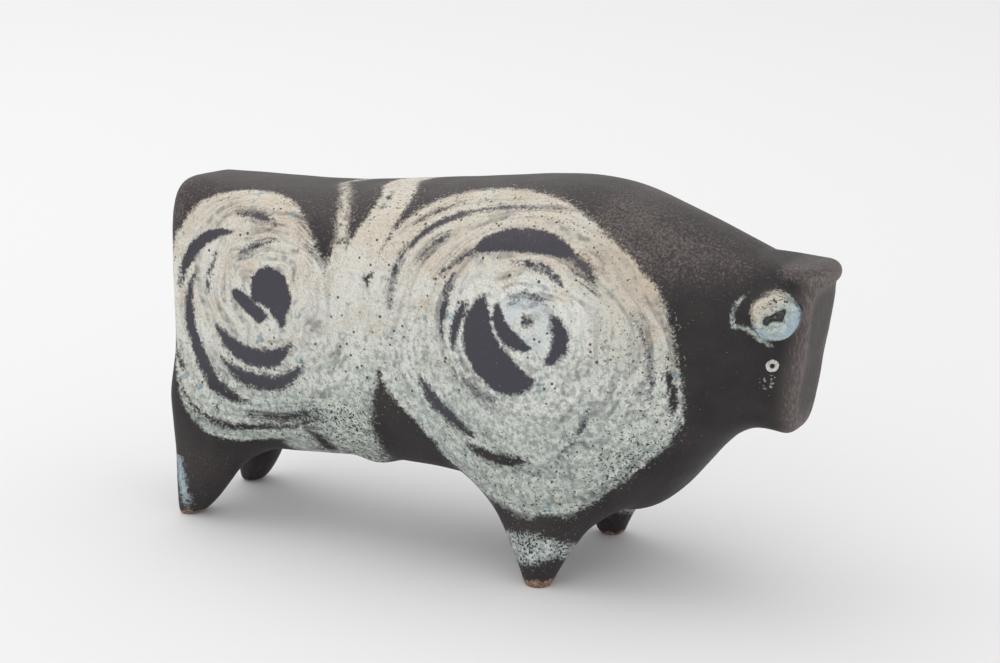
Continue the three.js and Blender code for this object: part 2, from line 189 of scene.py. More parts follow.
def new_group(name, inputs, outputs):
    """A node group with named sockets, which are numbers unless listed above, and its inner inputs."""
    tree = bpy.data.node_groups.new(name, "ShaderNodeTree")
    for way, labels in (("INPUT", inputs), ("OUTPUT", outputs)):
        for label in labels:
            kind = SOCKET_KINDS.get(label, "Float")
            tree.interface.new_socket(label, in_out=way, socket_type="NodeSocket" + kind)
    given = add_node(tree, "NodeGroupInput")
    return tree, [given[label] for label in inputs]


def srgb(red, green, blue):
    """A colour as a picture editor shows it, from 0 to 255, as the linear light that shaders use."""
    return tuple(((c / 255 + 0.055) / 1.055) ** 2.4 for c in (red, green, blue))


print("node helpers ready")

# %% [markdown]
# ## Ground and light
# The bull stands on a pale seamless ground under a big soft light from above and behind its rump. The
# ground is matte and nearly white, so that it throws light back under the belly and keeps a soft shadow.
# Rays that come straight from the camera see the world as the same pale tone, which hides the horizon in
# low views.

# %% Make the ground and the lights
GROUND_HALF = 8000.0
GROUND_TONE = (0.80, 0.795, 0.80)
SKY_STRENGTH = 0.92
SKY_TONE = (0.74, 0.735, 0.74)


def mesh_of(name, points, faces):
    """A Blender mesh, in metres, from points in millimetres."""
    mesh = bpy.data.meshes.new(name)
    mesh.from_pydata((np.array(points, float) * MM).tolist(), [], faces)
    mesh.validate()
    return mesh


ground_corners = [(GROUND_HALF * a, GROUND_HALF * b, 0) for a, b in ((-1, -1), (1, -1), (1, 1), (-1, 1))]
ground = put_in_scene("ground", mesh_of("ground", ground_corners, [(0, 1, 2, 3)]))
ground_finish = bpy.data.materials.new("pale_ground")
ground_finish.use_nodes = True
ground_shader = ground_finish.node_tree.nodes["Principled BSDF"]
fill(ground_shader, {"Base Color": GROUND_TONE, "Roughness": 0.9, "Specular IOR Level": 0.1})
ground.data.materials.append(ground_finish)


def soft_light(name, place, target, size, watts):
    """A square lamp that faces the target. The wider it is, the softer the shadow."""
    lamp = bpy.data.lights.new(name, "AREA")
    lamp.size = size
    lamp.energy = watts
    holder = put_in_scene(name, lamp)
    holder.location = place
    holder.rotation_euler = (Vector(target) - Vector(place)).to_track_quat("-Z", "Y").to_euler()


soft_light("key_light", (-0.75, 0.15, 1.35), (0.0, 0.0, 0.05), 1.7, 6.8)
soft_light("fill_light", (0.2, -1.5, 1.0), (0.0, 0.0, 0.06), 1.2, 3.5)

world = bpy.data.worlds.new("studio")
world.use_nodes = True
bpy.context.scene.world = world
sky = world.node_tree
sky.nodes.clear()
rays = add_node(sky, "ShaderNodeLightPath")
seen = rays["Is Camera Ray"].calc("MAXIMUM", rays["Is Transmission Ray"])
lit = add_node(sky, "ShaderNodeBackground", {"Color": (1, 1, 1), "Strength": SKY_STRENGTH})[0]
shown = add_node(sky, "ShaderNodeBackground", {"Color": SKY_TONE, "Strength": 1.0})[0]
sky_mix = add_node(sky, "ShaderNodeMixShader", {0: seen, 1: lit, 2: shown})[0]
add_node(sky, "ShaderNodeOutputWorld", {"Surface": sky_mix})
bpy.context.scene.view_settings.view_transform = "Standard"
print("ground and lights ready")

# %% [markdown]
# ## The form of the clay
# A potter's rounded form has no edges to model by hand, so it is written as a field: a number at each
# point of space that is below zero inside the clay. The trunk is a row of rounded boxes joined by smooth
# curves, and the legs, the face and the lip are joined or cut with round fillets. The sizes are those of
# the part's own source.

# %% Write the main sizes
RUMP_X = -119.5
FACE_X = 114.0
BACK_HEIGHT = 131.5
HALF_WIDTH = 41.0
# Each section: how far along, how far its top is below the highest point of the back, how high its belly
# is, how much slimmer it is than the widest section, how square it is, by what share it widens towards
# its top, and by what share its top falls towards the bull's left.
SECTIONS = [
    (RUMP_X, 12.0, 27.5, 17.4, 4.5, 0.0, 0.115),
    (RUMP_X + 28.5, 12.0, 25.1, 12.1, 3.4, 0.0, 0.0),
    (RUMP_X + 68.5, 9.1, 27.3, 6.1, 2.7, 0.0, 0.0),
    (RUMP_X + 106.5, 4.0, 28.3, 5.0, 2.7, 0.0, 0.0),
    (RUMP_X + 138.5, 0.2, 25.6, 0.0, 2.6, 0.0, 0.0),
    (RUMP_X + 160.5, 0.3, 24.4, 1.0, 2.5, 0.0, 0.0),
    (RUMP_X + 180.5, 4.7, 26.8, 6.5, 2.3, 0.0, 0.0),
    (FACE_X - 35.0, 10.6, 46.6, 14.7, 2.3, 0.0, 0.0),
    (FACE_X - 20.0, 17.0, 57.4, 21.0, 2.7, 0.06, 0.0),
    (FACE_X - 8.0, 20.7, 56.4, 27.2, 3.4, 0.16, 0.0),
    (FACE_X + 6.0, 16.7, 57.0, 28.3, 3.8, 0.2, 0.0),
]
WALL = 5.5
RUMP_ROUND = 4.0
FACE_ROUND = 4.5
FACE_LEAN = math.radians(7.8)
FACE_Z = BACK_HEIGHT - 24.5
LIP = {"x": FACE_X - 8.0, "z": BACK_HEIGHT - 20.7, "reach": 12.0, "half_width": 11.5, "half_thickness": 2.1}
LIP_BLEND = 5.0
LIP_DROOP = math.radians(3.0)
FOOT = {"radius": 4.6, "round": 3.0, "worn": 0.9}
LEG_BLEND = 12.0
LEG_TOP_ROUND = 9.0
LEG_JOINT_Z = 21.5
REAR_LEG = {
    "foot": (RUMP_X + 2.5, HALF_WIDTH - 20.4),
    "root": (RUMP_X + 15.4, HALF_WIDTH - 23.5, 40.0),
    "long": 19.2,
    "wide": 13.0,
    "swell": 0.7,
    "top": 52.0,
    "left_slimmer": 3.2,
}
FRONT_LEG = {
    "foot": (RUMP_X + 146.3, HALF_WIDTH - 12.2),
    "root": (RUMP_X + 147.2, HALF_WIDTH - 18.5, 42.0),
    "long": 31.0,
    "wide": 13.5,
    "swell": 1.2,
    "top": 56.0,
    "left_slimmer": 0.0,
}
RUMP_JOINT_X = RUMP_X + 7.0
NECK_JOINT_X = FACE_X - 42.0
FACE_SLAB = 4.2
HORN = {"x": FACE_X - 11.0, "z": BACK_HEIGHT - 32.3, "radius": 7.6, "length": 8.0, "left_shorter": 3.2}
HORN_ROUND = 2.6
HORN_BLEND = 2.4
HORN_JOINT = 1.6
GROOVE = {"half_length": 4.6, "half_width": 1.5, "depth": 3.0, "turn": math.radians(35.0)}
EYE = {"x": FACE_X - 11.5, "z": HORN["z"] - 16.9, "radius": 2.1, "thickness": 0.62}
NUB = {"x": RUMP_X + 78.0, "aside": 14.5, "proud": 1.9}
NUB_HALVES = (7.5, 4.8, 4.0)
NUB_BLEND = 2.0
NUB_JOINT = 0.7
VENT = {"x": RUMP_X + 41.5, "radius": 1.5, "facets": 24, "low": 15, "high": 45}
print("the bull is", round(FACE_X - RUMP_X), "mm from rump to face")

# %% Write the curves and the fillets
def spline(knots, heights):
    """A smooth curve through points, a natural cubic spline, as a function of arrays."""
    knots = np.array(knots, float)
    heights = np.array(heights, float)
    gap = np.diff(knots)
    rows = np.diag(2 * (gap[:-1] + gap[1:])) + np.diag(gap[1:-1], 1) + np.diag(gap[1:-1], -1)
    bend = np.zeros(len(knots))
    bend[1:-1] = np.linalg.solve(rows, 6 * np.diff(np.diff(heights) / gap))

    def curve(x):
        at = np.clip(x, knots[0], knots[-1])
        i = np.clip(np.searchsorted(knots, at, side="right") - 1, 0, len(gap) - 1)
        a = (knots[i + 1] - at) / gap[i]
        b = 1 - a
        bulge = ((a**3 - a) * bend[i] + (b**3 - b) * bend[i + 1]) * gap[i] ** 2 / 6
        return a * heights[i] + b * heights[i + 1] + bulge

    return curve


along, drop, belly_height, slimmer, squareness, wedge, roll = zip(*SECTIONS)
top_at = spline(along, [BACK_HEIGHT - d for d in drop])
belly_at = spline(along, belly_height)
half_width_at = spline(along, [HALF_WIDTH - s for s in slimmer])
square_at = spline(along, squareness)
wedge_at = spline(along, wedge)
roll_at = spline(along, roll)


def join(a, b, radius):
    """Two forms in one, with a fillet between them."""
    rounded = np.hypot(np.maximum(radius - a, 0), np.maximum(radius - b, 0))
    return np.maximum(radius, np.minimum(a, b)) - rounded


def trim(a, b, radius):
    """What two forms share, with a rounded edge where one cuts the other."""
    rounded = np.hypot(np.maximum(radius + a, 0), np.maximum(radius + b, 0))
    return np.minimum(-radius, np.maximum(a, b)) + rounded


def rounded_box(u, v, half_u, half_v, square):
    share = (np.abs(u / half_u) ** square + np.abs(v / half_v) ** square) ** (1 / square)
    return np.hypot(u, v) * (1 - 1 / np.maximum(share, 1e-3))


print("top of the shoulder:", round(float(top_at(RUMP_X + 138.5)), 1), "mm")

# %% Write the form of each piece of clay
def trunk(x, y, z):
    middle_z = (top_at(x) + belly_at(x)) / 2
    half_height = (top_at(x) - belly_at(x)) / 2
    climb = np.clip((z - middle_z) / half_height, -1, 1)
    half_width = half_width_at(x) * (1 + wedge_at(x) * climb)
    rolled = roll_at(x) * y * np.maximum(climb, 0)
    return rounded_box(y, z - middle_z + rolled, half_width, half_height, square_at(x))


def leg_cone(x, y, z, leg):
    foot_x, foot_y = leg["foot"]
    root_x, root_y, root_z = leg["root"]
    slimmer = leg["left_slimmer"] * np.clip(0.5 + y / (2 * LEG_BLEND), 0, 1)
    up = np.maximum(z / root_z, 0)
    grown = np.minimum(up, 1) ** leg["swell"]
    middle_x = foot_x + (root_x - slimmer - foot_x) * grown
    middle_y = foot_y + (root_y - foot_y) * up
    half_long = FOOT["radius"] + (leg["long"] - slimmer - FOOT["radius"]) * grown
    half_wide = FOOT["radius"] + (leg["wide"] - FOOT["radius"]) * grown
    cone = rounded_box(x - middle_x, np.abs(y) - middle_y, half_long, half_wide, 2)
    return trim(cone, z - leg["top"], LEG_TOP_ROUND)


def turned(a, b, angle):
    """Two coordinates after a turn of their plane."""
    return a * math.cos(angle) - b * math.sin(angle), a * math.sin(angle) + b * math.cos(angle)


def before_face(x, z):
    return turned(x - FACE_X, z - FACE_Z, FACE_LEAN)[0]


def lip_plate(x, y, z):
    u, w = turned(x - LIP["x"], z - LIP["z"], LIP_DROOP)
    edge = LIP["half_thickness"]
    plan = rounded_box(u, y, LIP["reach"] - edge, LIP["half_width"] - edge, 2)
    return np.hypot(np.maximum(plan, 0), w) - edge


def bull(x, y, z):
    """The smooth bull, without its small pieces."""
    d = trunk(x, y, z)
    d = join(d, leg_cone(x, y, z, REAR_LEG), LEG_BLEND)
    d = join(d, leg_cone(x, y, z, FRONT_LEG), LEG_BLEND)
    d = trim(d, RUMP_X - x, RUMP_ROUND)
    d = trim(d, before_face(x, z), FACE_ROUND)
    d = join(d, lip_plate(x, y, z), LIP_BLEND)
    return trim(d, -z - FOOT["worn"], FOOT["round"])


def uphill(form, points, step=0.05):
    """The direction in which a form's field grows, at each point."""
    shifts = np.eye(3) * step
    rise = [form(*(points + s).T) - form(*(points - s).T) for s in shifts]
    return np.stack(rise, axis=1) / (2 * step)


def settle(form, points, rounds=3):
    """Moves points onto the surface of a form."""
    for _ in range(rounds):
        slope = uphill(form, points)
        steep = np.maximum((slope**2).sum(axis=1), 0.05)
        points = points - slope * (form(*points.T) / steep)[:, None]
    return points


def seat_on(x, y, z):
    """Where a small piece sits on the left side: the point on the skin near the given one and the three
    directions there, towards the face, up the skin and out of it."""
    point = settle(bull, np.array([[x, y, z]], float), 8)
    out = uphill(bull, point)[0]
    out /= np.linalg.norm(out)
    facing = np.array([1.0, 0.0, 0.0]) - out[0] * out
    facing /= np.linalg.norm(facing)
    lifting = np.cross(facing, out)
    return point[0], facing, lifting * np.sign(lifting[2]), out


HORN_SEAT = seat_on(HORN["x"], half_width_at(HORN["x"]), HORN["z"])
EYE_SEAT = seat_on(EYE["x"], half_width_at(EYE["x"]), EYE["z"])
NUB_SEAT = seat_on(NUB["x"], NUB["aside"], belly_at(NUB["x"]))


def from_seat(seat, x, y, z):
    """Coordinates seen from a seat: towards the face, up the skin and out of it."""
    point, facing, lifting, out = seat
    place = (x - point[0], y - point[1], z - point[2])
    return [sum(p * a for p, a in zip(place, axis)) for axis in (facing, lifting, out)]


def along_groove(u, v):
    """Turns places on the horn's end so that the first runs along the groove, which wavers a little."""
    a, b = turned(u, v, -GROOVE["turn"])
    return a, b + 0.5 * np.sin(a * 0.9 + 0.5) - 0.3


def oval_share(places, halves):
    """How far out places lie in a solid oval, as a share of its size: 1 on its surface."""
    return np.sqrt(sum((place / half) ** 2 for place, half in zip(places, halves)))


def horn_length(y):
    """The left horn is a little shorter than the right one."""
    return np.where(y > 0, HORN["length"] - HORN["left_shorter"], HORN["length"])


def horn_stub(x, y, z):
    """A short blunt stub, a little lumpy, with a finger's groove pressed into its end."""
    u, v, h = from_seat(HORN_SEAT, x, np.abs(y), z)
    turn = np.arctan2(v, u)
    lumps = 0.35 * np.sin(3 * turn + 1.0) + 0.2 * np.sin(5 * turn)
    length = horn_length(y)
    stub = trim(np.hypot(u, v) - HORN["radius"] - lumps, h - length + 0.06 * (u - v), HORN_ROUND)
    stub = np.maximum(stub, -h - HORN["length"])
    across_u, across_v = along_groove(u, v)
    narrow = GROOVE["half_width"] * (1 + 0.25 * np.sin(across_u * 1.3))
    share = oval_share((across_u, across_v, h - length), (GROOVE["half_length"], narrow, GROOVE["depth"]))
    return trim(stub, (1 - share) * GROOVE["half_width"], 1.2)


def horn_depth(points):
    """How deep below the blunt end of the horn each point of the groove lies."""
    u, v, h = from_seat(HORN_SEAT, points[:, 0], np.abs(points[:, 1]), points[:, 2])
    across_u, across_v = along_groove(u, v)
    in_groove = np.hypot(across_u / (GROOVE["half_length"] + 1), across_v / (GROOVE["half_width"] + 1)) < 1
    return np.where(in_groove, h - horn_length(points[:, 1]), 0)


def belly_bead(x, y, z):
    """A long bead of clay pressed into the belly, on the right of the middle."""
    u, v, h = from_seat(NUB_SEAT, x, -y, z)
    half_height = NUB_HALVES[2]
    return (oval_share((u, v, h - NUB["proud"] + half_height), NUB_HALVES) - 1) * half_height


def hand_waves(x, y, z):
    """The slight unevenness that fingers and paddle leave, a third of a millimetre high at most."""
    slow = np.sin(x / 11.3 + 1.7 * np.sin(z / 17.1) + y / 23.0) * np.sin(z / 9.7 + y / 14.3 + 0.6)
    quick = np.sin(x / 4.1 + z / 6.3) * np.sin(z / 3.7 - y / 5.9 + x / 9.1)
    return 0.2 * slow + 0.06 * quick


def clay(x, y, z):
    """The whole bull as the hand left it, with its horns and its belly bead, and its feet cut flat."""
    d = bull(x, y, z) + hand_waves(x, y, z) * np.clip(z / 12 - 0.2, 0, 1)
    d = join(d, horn_stub(x, y, z), HORN_BLEND)
    return join(d, belly_bead(x, y, z), NUB_BLEND)


def behind_wall(x, y, z):
    """The hollow, which follows the smooth bull at the wall's thickness."""
    return bull(x, y, z) + WALL


print("horn seat:", HORN_SEAT[0].round(1), "eye seat:", EYE_SEAT[0].round(1))

# %% [markdown]
# ## A net over the form
# The field becomes a mesh as a surface net: space is cut into small cells, each cell that the surface
# crosses gets one vertex, and neighbours are joined by four-sided faces. The vertices are then moved
# exactly onto the form. Sculpting by hand could give such a skin too, but not one that stays within a
# fraction of a millimetre of the solids.

# %% Write the net
def part_touching(value):
    """Where inside and outside corners alternate round a grid face the net would touch itself. The outside
    corner that is nearer the surface is taken inside, until no such face is left."""
    pairs = ((0, 1), (0, 2), (1, 2))
    for _ in range(12):
        found = 0
        for a, b in pairs:
            def corner(da, db):
                cut = [slice(None)] * 3
                cut[a] = slice(da, value.shape[a] - 1 + da)
                cut[b] = slice(db, value.shape[b] - 1 + db)
                return tuple(cut)

            ring = [corner(0, 0), corner(1, 0), corner(1, 1), corner(0, 1)]
            inside = [value[c] < 0 for c in ring]
            mixed = (inside[0] == inside[2]) & (inside[1] == inside[3]) & (inside[0] != inside[1])
            found += int(mixed.sum())
            for first, second in ((0, 2), (1, 3)):
                outside = mixed & ~inside[first]
                nearer = value[ring[first]] <= value[ring[second]]
                for c, pick in ((ring[first], outside & nearer), (ring[second], outside & ~nearer)):
                    part = value[c]
                    part[pick] = -1e-3
                    value[c] = part
        if not found:
            return


def net_over(form, low, high, step):
    """Vertices and four-sided faces of a closed net over the part of a form that lies in a box."""
    low = np.array(low, float)
    count = np.ceil((np.array(high, float) - low) / step).astype(int) + 1
    axes = [low[k] + step * np.arange(count[k]) for k in range(3)]
    value = form(*np.meshgrid(*axes, indexing="ij"))
    for axis in range(3):
        for end in (0, -1):
            cut = [slice(None)] * 3
            cut[axis] = end
            value[tuple(cut)] = np.maximum(value[tuple(cut)], step / 2)
    part_touching(value)
    cells = tuple(count - 1)
    total = np.zeros(cells + (3,))
    crossings = np.zeros(cells)

    def at_corner(c):
        return value[tuple(slice(c[k], c[k] + cells[k]) for k in range(3))]

    for axis in range(3):
        for bits in range(8):
            near = [bits >> 2, (bits >> 1) & 1, bits & 1]
            if near[axis]:
                continue
            far = list(near)
            far[axis] = 1
            a = at_corner(near)
            b = at_corner(far)
            crossed = (a < 0) != (b < 0)
            share = np.where(crossed, a / np.where(crossed, a - b, 1), 0)
            crossings += crossed
            for k in range(3):
                total[..., k] += share if k == axis else crossed * near[k]
    used = crossings > 0
    index = np.full(cells, -1)
    index[used] = np.arange(int(used.sum()))
    points = low + step * (np.argwhere(used) + total[used] / crossings[used][:, None])
    inside = value < 0
    faces = []
    for axis in range(3):
        b, c = [(1, 2), (2, 0), (0, 1)][axis]
        near = [slice(None)] * 3
        far = [slice(None)] * 3
        near[axis] = slice(0, -1)
        far[axis] = slice(1, None)
        where = np.argwhere(inside[tuple(near)] != inside[tuple(far)])

        def cell(db, dc):
            at = where.copy()
            at[:, b] += db
            at[:, c] += dc
            return index[tuple(at.T)]

        quad = np.stack([cell(-1, -1), cell(0, -1), cell(0, 0), cell(-1, 0)], axis=1)
        leaving = inside[tuple(where.T)]
        quad[~leaving] = quad[~leaving][:, ::-1]
        faces.append(quad)
    return settle(form, points), np.concatenate(faces).tolist()


print("net ready")

# %% [markdown]
# ## Cutting the skin into pieces
# The barrel, the two end slabs, the head, the leg cones and the horns are separate pieces of clay luted
# together. Each is the net over its own part of the form, cut by flat blocks where it meets its
# neighbours. The barrel and the head are hollow. The boolean modifier with the manifold solver cuts
# closed meshes quickly and exactly.

# %% Write the cutting helpers
BODY_STEP = 1.0
HEAD_STEP = 0.8
HORN_STEP = 0.5
HOLLOW_STEP = 5.0
ROOM = 6.0
FAR = 300.0
BACK_X = RUMP_X - ROOM
NOSE_X = LIP["x"] + LIP["reach"] + ROOM
SIDE_Y = HALF_WIDTH + ROOM
HIGH_Z = BACK_HEIGHT + ROOM
scratch = bpy.data.collections.new("cutters")
bpy.context.scene.collection.children.link(scratch)


def scratch_object(mesh):
    tool = bpy.data.objects.new("cutter", mesh)
    scratch.objects.link(tool)
    return tool


def block(low, high, placed=None):
    """A cutting block between two corners, in millimetres, and moved by a matrix if one is given."""
    ends = (low, high)
    corners = [(a[0], b[1], c[2]) for a in ends for b in ends for c in ends]
    faces = [(0, 1, 3, 2), (4, 6, 7, 5), (0, 4, 5, 1), (2, 3, 7, 6), (0, 2, 6, 4), (1, 5, 7, 3)]
    mesh = mesh_of("cutter", corners, faces)
    if placed is not None:
        mesh.transform(placed)
    return scratch_object(mesh)


def cut(mesh, operation, tool):
    """The mesh after one boolean cut with a tool object."""
    body = scratch_object(mesh)
    knife = body.modifiers.new("knife", "BOOLEAN")
    knife.operation = operation
    knife.object = tool
    knife.solver = "MANIFOLD"
    graph = bpy.context.evaluated_depsgraph_get()
    result = bpy.data.meshes.new_from_object(body.evaluated_get(graph))
    bpy.data.objects.remove(body)
    return result


def piece_mesh(name, low, high, step, form=clay):
    """The part of a form that lies in a box. The net is a little wider, and its closing faces go."""
    wide = 2 * step
    points, faces = net_over(form, np.array(low) - wide, np.array(high) + wide, step)
    return cut(mesh_of(name, points, faces), "INTERSECT", block(low, high))


def seat_matrix(seat, side):
    """Places a block at a seat, with its Z pointing out of the skin. The right side mirrors the left."""
    point, facing, lifting, out = seat
    flip = np.array([1.0, side, 1.0])
    columns = [facing * flip, np.cross(out * flip, facing * flip), out * flip]
    placed = Matrix([[*row, 0.0] for row in np.array(columns).T.tolist()]).to_4x4()
    placed.translation = Vector(point * flip * MM)
    return placed


def upright_pin(x, radius, low, high):
    """A round pin that stands in the middle of the bull's width."""
    facets = VENT["facets"]
    turns = [math.tau * n / facets for n in range(facets)]
    ring = [(x + radius * math.cos(turn), radius * math.sin(turn)) for turn in turns]
    corners = [(*place, z) for z in (low, high) for place in ring]
    sides = [(n, (n + 1) % facets, (n + 1) % facets + facets, n + facets) for n in range(facets)]
    caps = [tuple(range(facets))[::-1], tuple(range(facets, 2 * facets))]
    return scratch_object(mesh_of("pin", corners, sides + caps))


def behind_face(depth):
    """A block that holds everything at least that far behind the leaning face."""
    lean = Matrix.Rotation(FACE_LEAN, 4, "Y")
    lean.translation = Vector((FACE_X, 0, FACE_Z)) * MM
    return block((-FAR, -FAR, -FAR), (-depth, FAR, FAR), lean)


print("finest step:", HORN_STEP, "mm")

# %% Cut the barrel, the slabs, the head and the legs
hollow_low = (RUMP_JOINT_X, -SIDE_Y, LEG_JOINT_Z + WALL)
hollow_high = (NOSE_X, SIDE_Y, HIGH_Z)
hollow_mesh = piece_mesh("hollow", hollow_low, hollow_high, HOLLOW_STEP, behind_wall)
hollow = scratch_object(cut(hollow_mesh, "INTERSECT", behind_face(FACE_SLAB)))
horn_blocks = {}
for side in (-1, 1):
    reach = HORN["radius"] + HORN_BLEND + 2
    low, high = (-reach, -reach, HORN_JOINT), (reach, reach, HORN["length"] + 4)
    horn_blocks[side] = block(low, high, seat_matrix(HORN_SEAT, side))

nub_long, nub_wide = NUB_HALVES[0] + NUB_BLEND, NUB_HALVES[1] + NUB_BLEND
nub_top = (nub_long + 1, nub_wide + 1, NUB["proud"] + 1)
nub_block = block((-nub_long, -nub_wide, NUB_JOINT), nub_top, seat_matrix(NUB_SEAT, -1))
vent_pin = upright_pin(VENT["x"], VENT["radius"], VENT["low"], VENT["high"])

meshes = {}
barrel_low, barrel_high = (RUMP_JOINT_X, -SIDE_Y, LEG_JOINT_Z), (NECK_JOINT_X, SIDE_Y, HIGH_Z)
barrel = piece_mesh("barrel", barrel_low, barrel_high, BODY_STEP)
barrel = cut(barrel, "DIFFERENCE", hollow)
barrel = cut(barrel, "DIFFERENCE", vent_pin)
meshes["torso_barrel"] = cut(barrel, "DIFFERENCE", nub_block)
nub_middle = NUB_SEAT[0] * (1, -1, 1)
nub_room = NUB_HALVES[0] + ROOM
nub = piece_mesh("nub", nub_middle - (nub_room, 14, 12), nub_middle + (nub_room, 14, 8), HEAD_STEP)
meshes["belly_nub"] = cut(nub, "INTERSECT", nub_block)
slab_low, slab_high = (BACK_X, -SIDE_Y, LEG_JOINT_Z), (RUMP_JOINT_X, SIDE_Y, HIGH_Z)
meshes["rump_slab"] = piece_mesh("rump", slab_low, slab_high, BODY_STEP)
head = piece_mesh("head", (NECK_JOINT_X, -SIDE_Y, LEG_JOINT_Z), (NOSE_X, SIDE_Y, HIGH_Z), HEAD_STEP)
for side in (-1, 1):
    head = cut(head, "DIFFERENCE", horn_blocks[side])
meshes["face_slab"] = cut(head.copy(), "DIFFERENCE", behind_face(FACE_SLAB))
head = cut(head, "INTERSECT", behind_face(FACE_SLAB))
meshes["head_shell"] = cut(head, "DIFFERENCE", hollow)
for side, flank in ((-1, "right"), (1, "left")):
    seat = HORN_SEAT[0] * (1, side, 1)
    around = HORN["radius"] + HORN["length"] + 3
    horn = piece_mesh("horn", seat - around, seat + around, HORN_STEP)
    meshes[flank + "_horn"] = cut(horn, "INTERSECT", horn_blocks[side])
    for place, leg in (("front", FRONT_LEG), ("rear", REAR_LEG)):
        foot_x = leg["foot"][0]
        reach = leg["long"] + ROOM
        inner, outer = sorted((0.0, side * SIDE_Y))
        low, high = (foot_x - reach, inner, 0.0), (foot_x + reach + ROOM, outer, LEG_JOINT_Z)
        meshes[f"{place}_{flank}_leg"] = piece_mesh("leg", low, high, HEAD_STEP)
for name, mesh in meshes.items():
    print(name, len(mesh.polygons), "faces")

# %% [markdown]
# ## Eye rings
# Each eye is a small ring of white slip trailed onto the cheek round a dark dimple. A lathe would make it
# too perfect, so it is a net over a ring whose thickness wavers, set on the cheek at its seat.

# %% Make the eye rings
RING_MIDDLE = 1.5
RING_STEP = 0.16


def eye_ring(u, v, h):
    """A ring with a shallow floor, in the seat's own directions."""
    turn = np.arctan2(v, u)
    waver = 0.07 * np.sin(2 * turn + 0.4) + 0.05 * np.sin(5 * turn)
    rim = np.hypot(np.hypot(u, v) - RING_MIDDLE, h / 1.05) - EYE["thickness"] - waver
    floor = np.maximum(np.hypot(u, v) - RING_MIDDLE, np.abs(h + 0.2) - 0.3)
    return join(rim, floor, 0.15)


for side, flank in ((-1, "right"), (1, "left")):
    span = np.array([2.6, 2.6, 1.2])
    points, faces = net_over(eye_ring, -span, span, RING_STEP)
    ring = mesh_of("ring", points, faces)
    ring.transform(seat_matrix(EYE_SEAT, side))
    meshes[flank + "_eye_ring"] = ring
    print(flank, "eye ring", len(ring.polygons), "faces")

# %% [markdown]
# ## Brushing the pale glaze
# On the real figure a wide brush turned twice on the flank, so the marks are arcs round two centres, and
# the dark glaze shows through wherever two passes of the brush miss each other. The marks are laid out on
# the flank as on a sheet: one direction runs along the bull and the other up its girth, so that they wrap
# over the back and under the belly. Each mark becomes a distance to its edge, in millimetres, that is
# kept on the vertices of the skin.

# %% Lay out the brush marks
# Each whorl has its centre, its reach at each thirty degrees, and the gaps between two passes of the
# brush. Each gap is an arc: its first and last angle, how far from the centre it starts, is halfway and
# ends, how wide it is to each side, and how dry the brush was at its edge.
HAUNCH = (RUMP_X + 45.5, BACK_HEIGHT - 43.5)
HAUNCH_REACH = (26.5, 26, 28.5, 39.5, 44.5, 43.6, 47, 52, 58, 58, 48, 36)
HAUNCH_GAPS = [
    (130, 187, 26, 34.3, 41, 2.6, 0.05),
    (176, 257, 33.2, 41.2, 41.8, 2.7, 0.3),
    (202, 222, 50.5, 51.4, 50.4, 1.2, 0.3),
    (208, 302, 29, 24.6, 18.6, 3.7, 0.5),
    (229, 304, 34.4, 32.3, 26.3, 3.1, 0.5),
    (222, 297, 53.4, 52.0, 45.6, 1.5, 0.6),
    (256, 294, 47.5, 45.5, 43.5, 1.5, 1.0),
    (123, 91, 33, 30, 26.5, 1.8, 0.8),
    (140, 92, 18.4, 17.6, 19.4, 0.8, 0.9),
    (156, 190, 26, 27, 28.2, 0.9, 0.6),
]
SHOULDER = (RUMP_X + 145.5, BACK_HEIGHT - 45.5)
SHOULDER_REACH = (48.5, 46.5, 48, 59.5, 65, 62, 60, 57.5, 62, 68.5, 57.5, 56)
SHOULDER_GAPS = [
    (126, 62, 35.5, 36.8, 35.0, 5.2, 0.12),
    (150, 100, 37.0, 35.4, 36.0, 0.9, 0.7),
    (72, 44, 34.6, 34.6, 31.8, 2.2, 1.0),
    (128, 294, 18.6, 13.6, 12.6, 7.6, 0.2),
    (142, 121, 59.0, 58.4, 59.3, 1.0, 0.3),
    (158, 110, 53.8, 52.9, 52.0, 1.5, 0.4),
    (122, 84, 52.4, 52.0, 52.6, 0.7, 0.8),
    (176, 154, 51.5, 52.5, 53.2, 0.8, 0.8),
    (186, 142, 30.4, 31.0, 32.4, 1.5, 0.7),
    (194, 150, 26.8, 24.6, 23.2, 2.0, 0.3),
    (104, 53, 26.9, 27.2, 23.8, 1.2, 0.5),
    (212, 250, 27, 24.7, 21.8, 0.8, 0.8),
    (203, 243, 43.2, 42.0, 40.4, 2.6, 0.5),
    (240, 274, 45.8, 43.0, 40.2, 2.8, 0.5),
    (-5, -25, 46.2, 49.4, 52.6, 1.4, 0.5),
    (-71, -39, 39.4, 34.6, 30.5, 0.5, 0.7),
    (150, 134, 47.2, 46.7, 46.4, 0.7, 0.9),
    (-20, 18, 44.0, 41.0, 38.0, 0.4, 0.7),
]
# The eye of the shoulder whorl is a small pale ring of its own, with two short dark arcs and a dark dot.
RING = (SHOULDER[0] + 2.3, SHOULDER[1] + 7.5)
RING_GAPS = [
    (150, 284, 12.2, 8.7, 8.6, 3.0, 0.05),
    (22, -66, 8.6, 12.4, 15.0, 3.0, 0.3),
    (60, 130, 9.5, 9.0, 9.5, 0.7, 0.9),
]
# A thin pale line between its dark crescent and its inner arc: points from the ring's centre, and half
# the width at each.
BRIDGE = [(-13.6, 6.5, 1.6), (-11.2, -2.5, 1.2), (-8.5, -7.9, 1.0), (-4.3, -11.2, 1.4), (0.5, -14.0, 2.4)]


def polar(x, g, centre):
    """How far from a centre, and at what angle in degrees."""
    u = x - centre[0]
    v = g - centre[1]
    return np.hypot(u, v), np.degrees(np.arctan2(v, u))


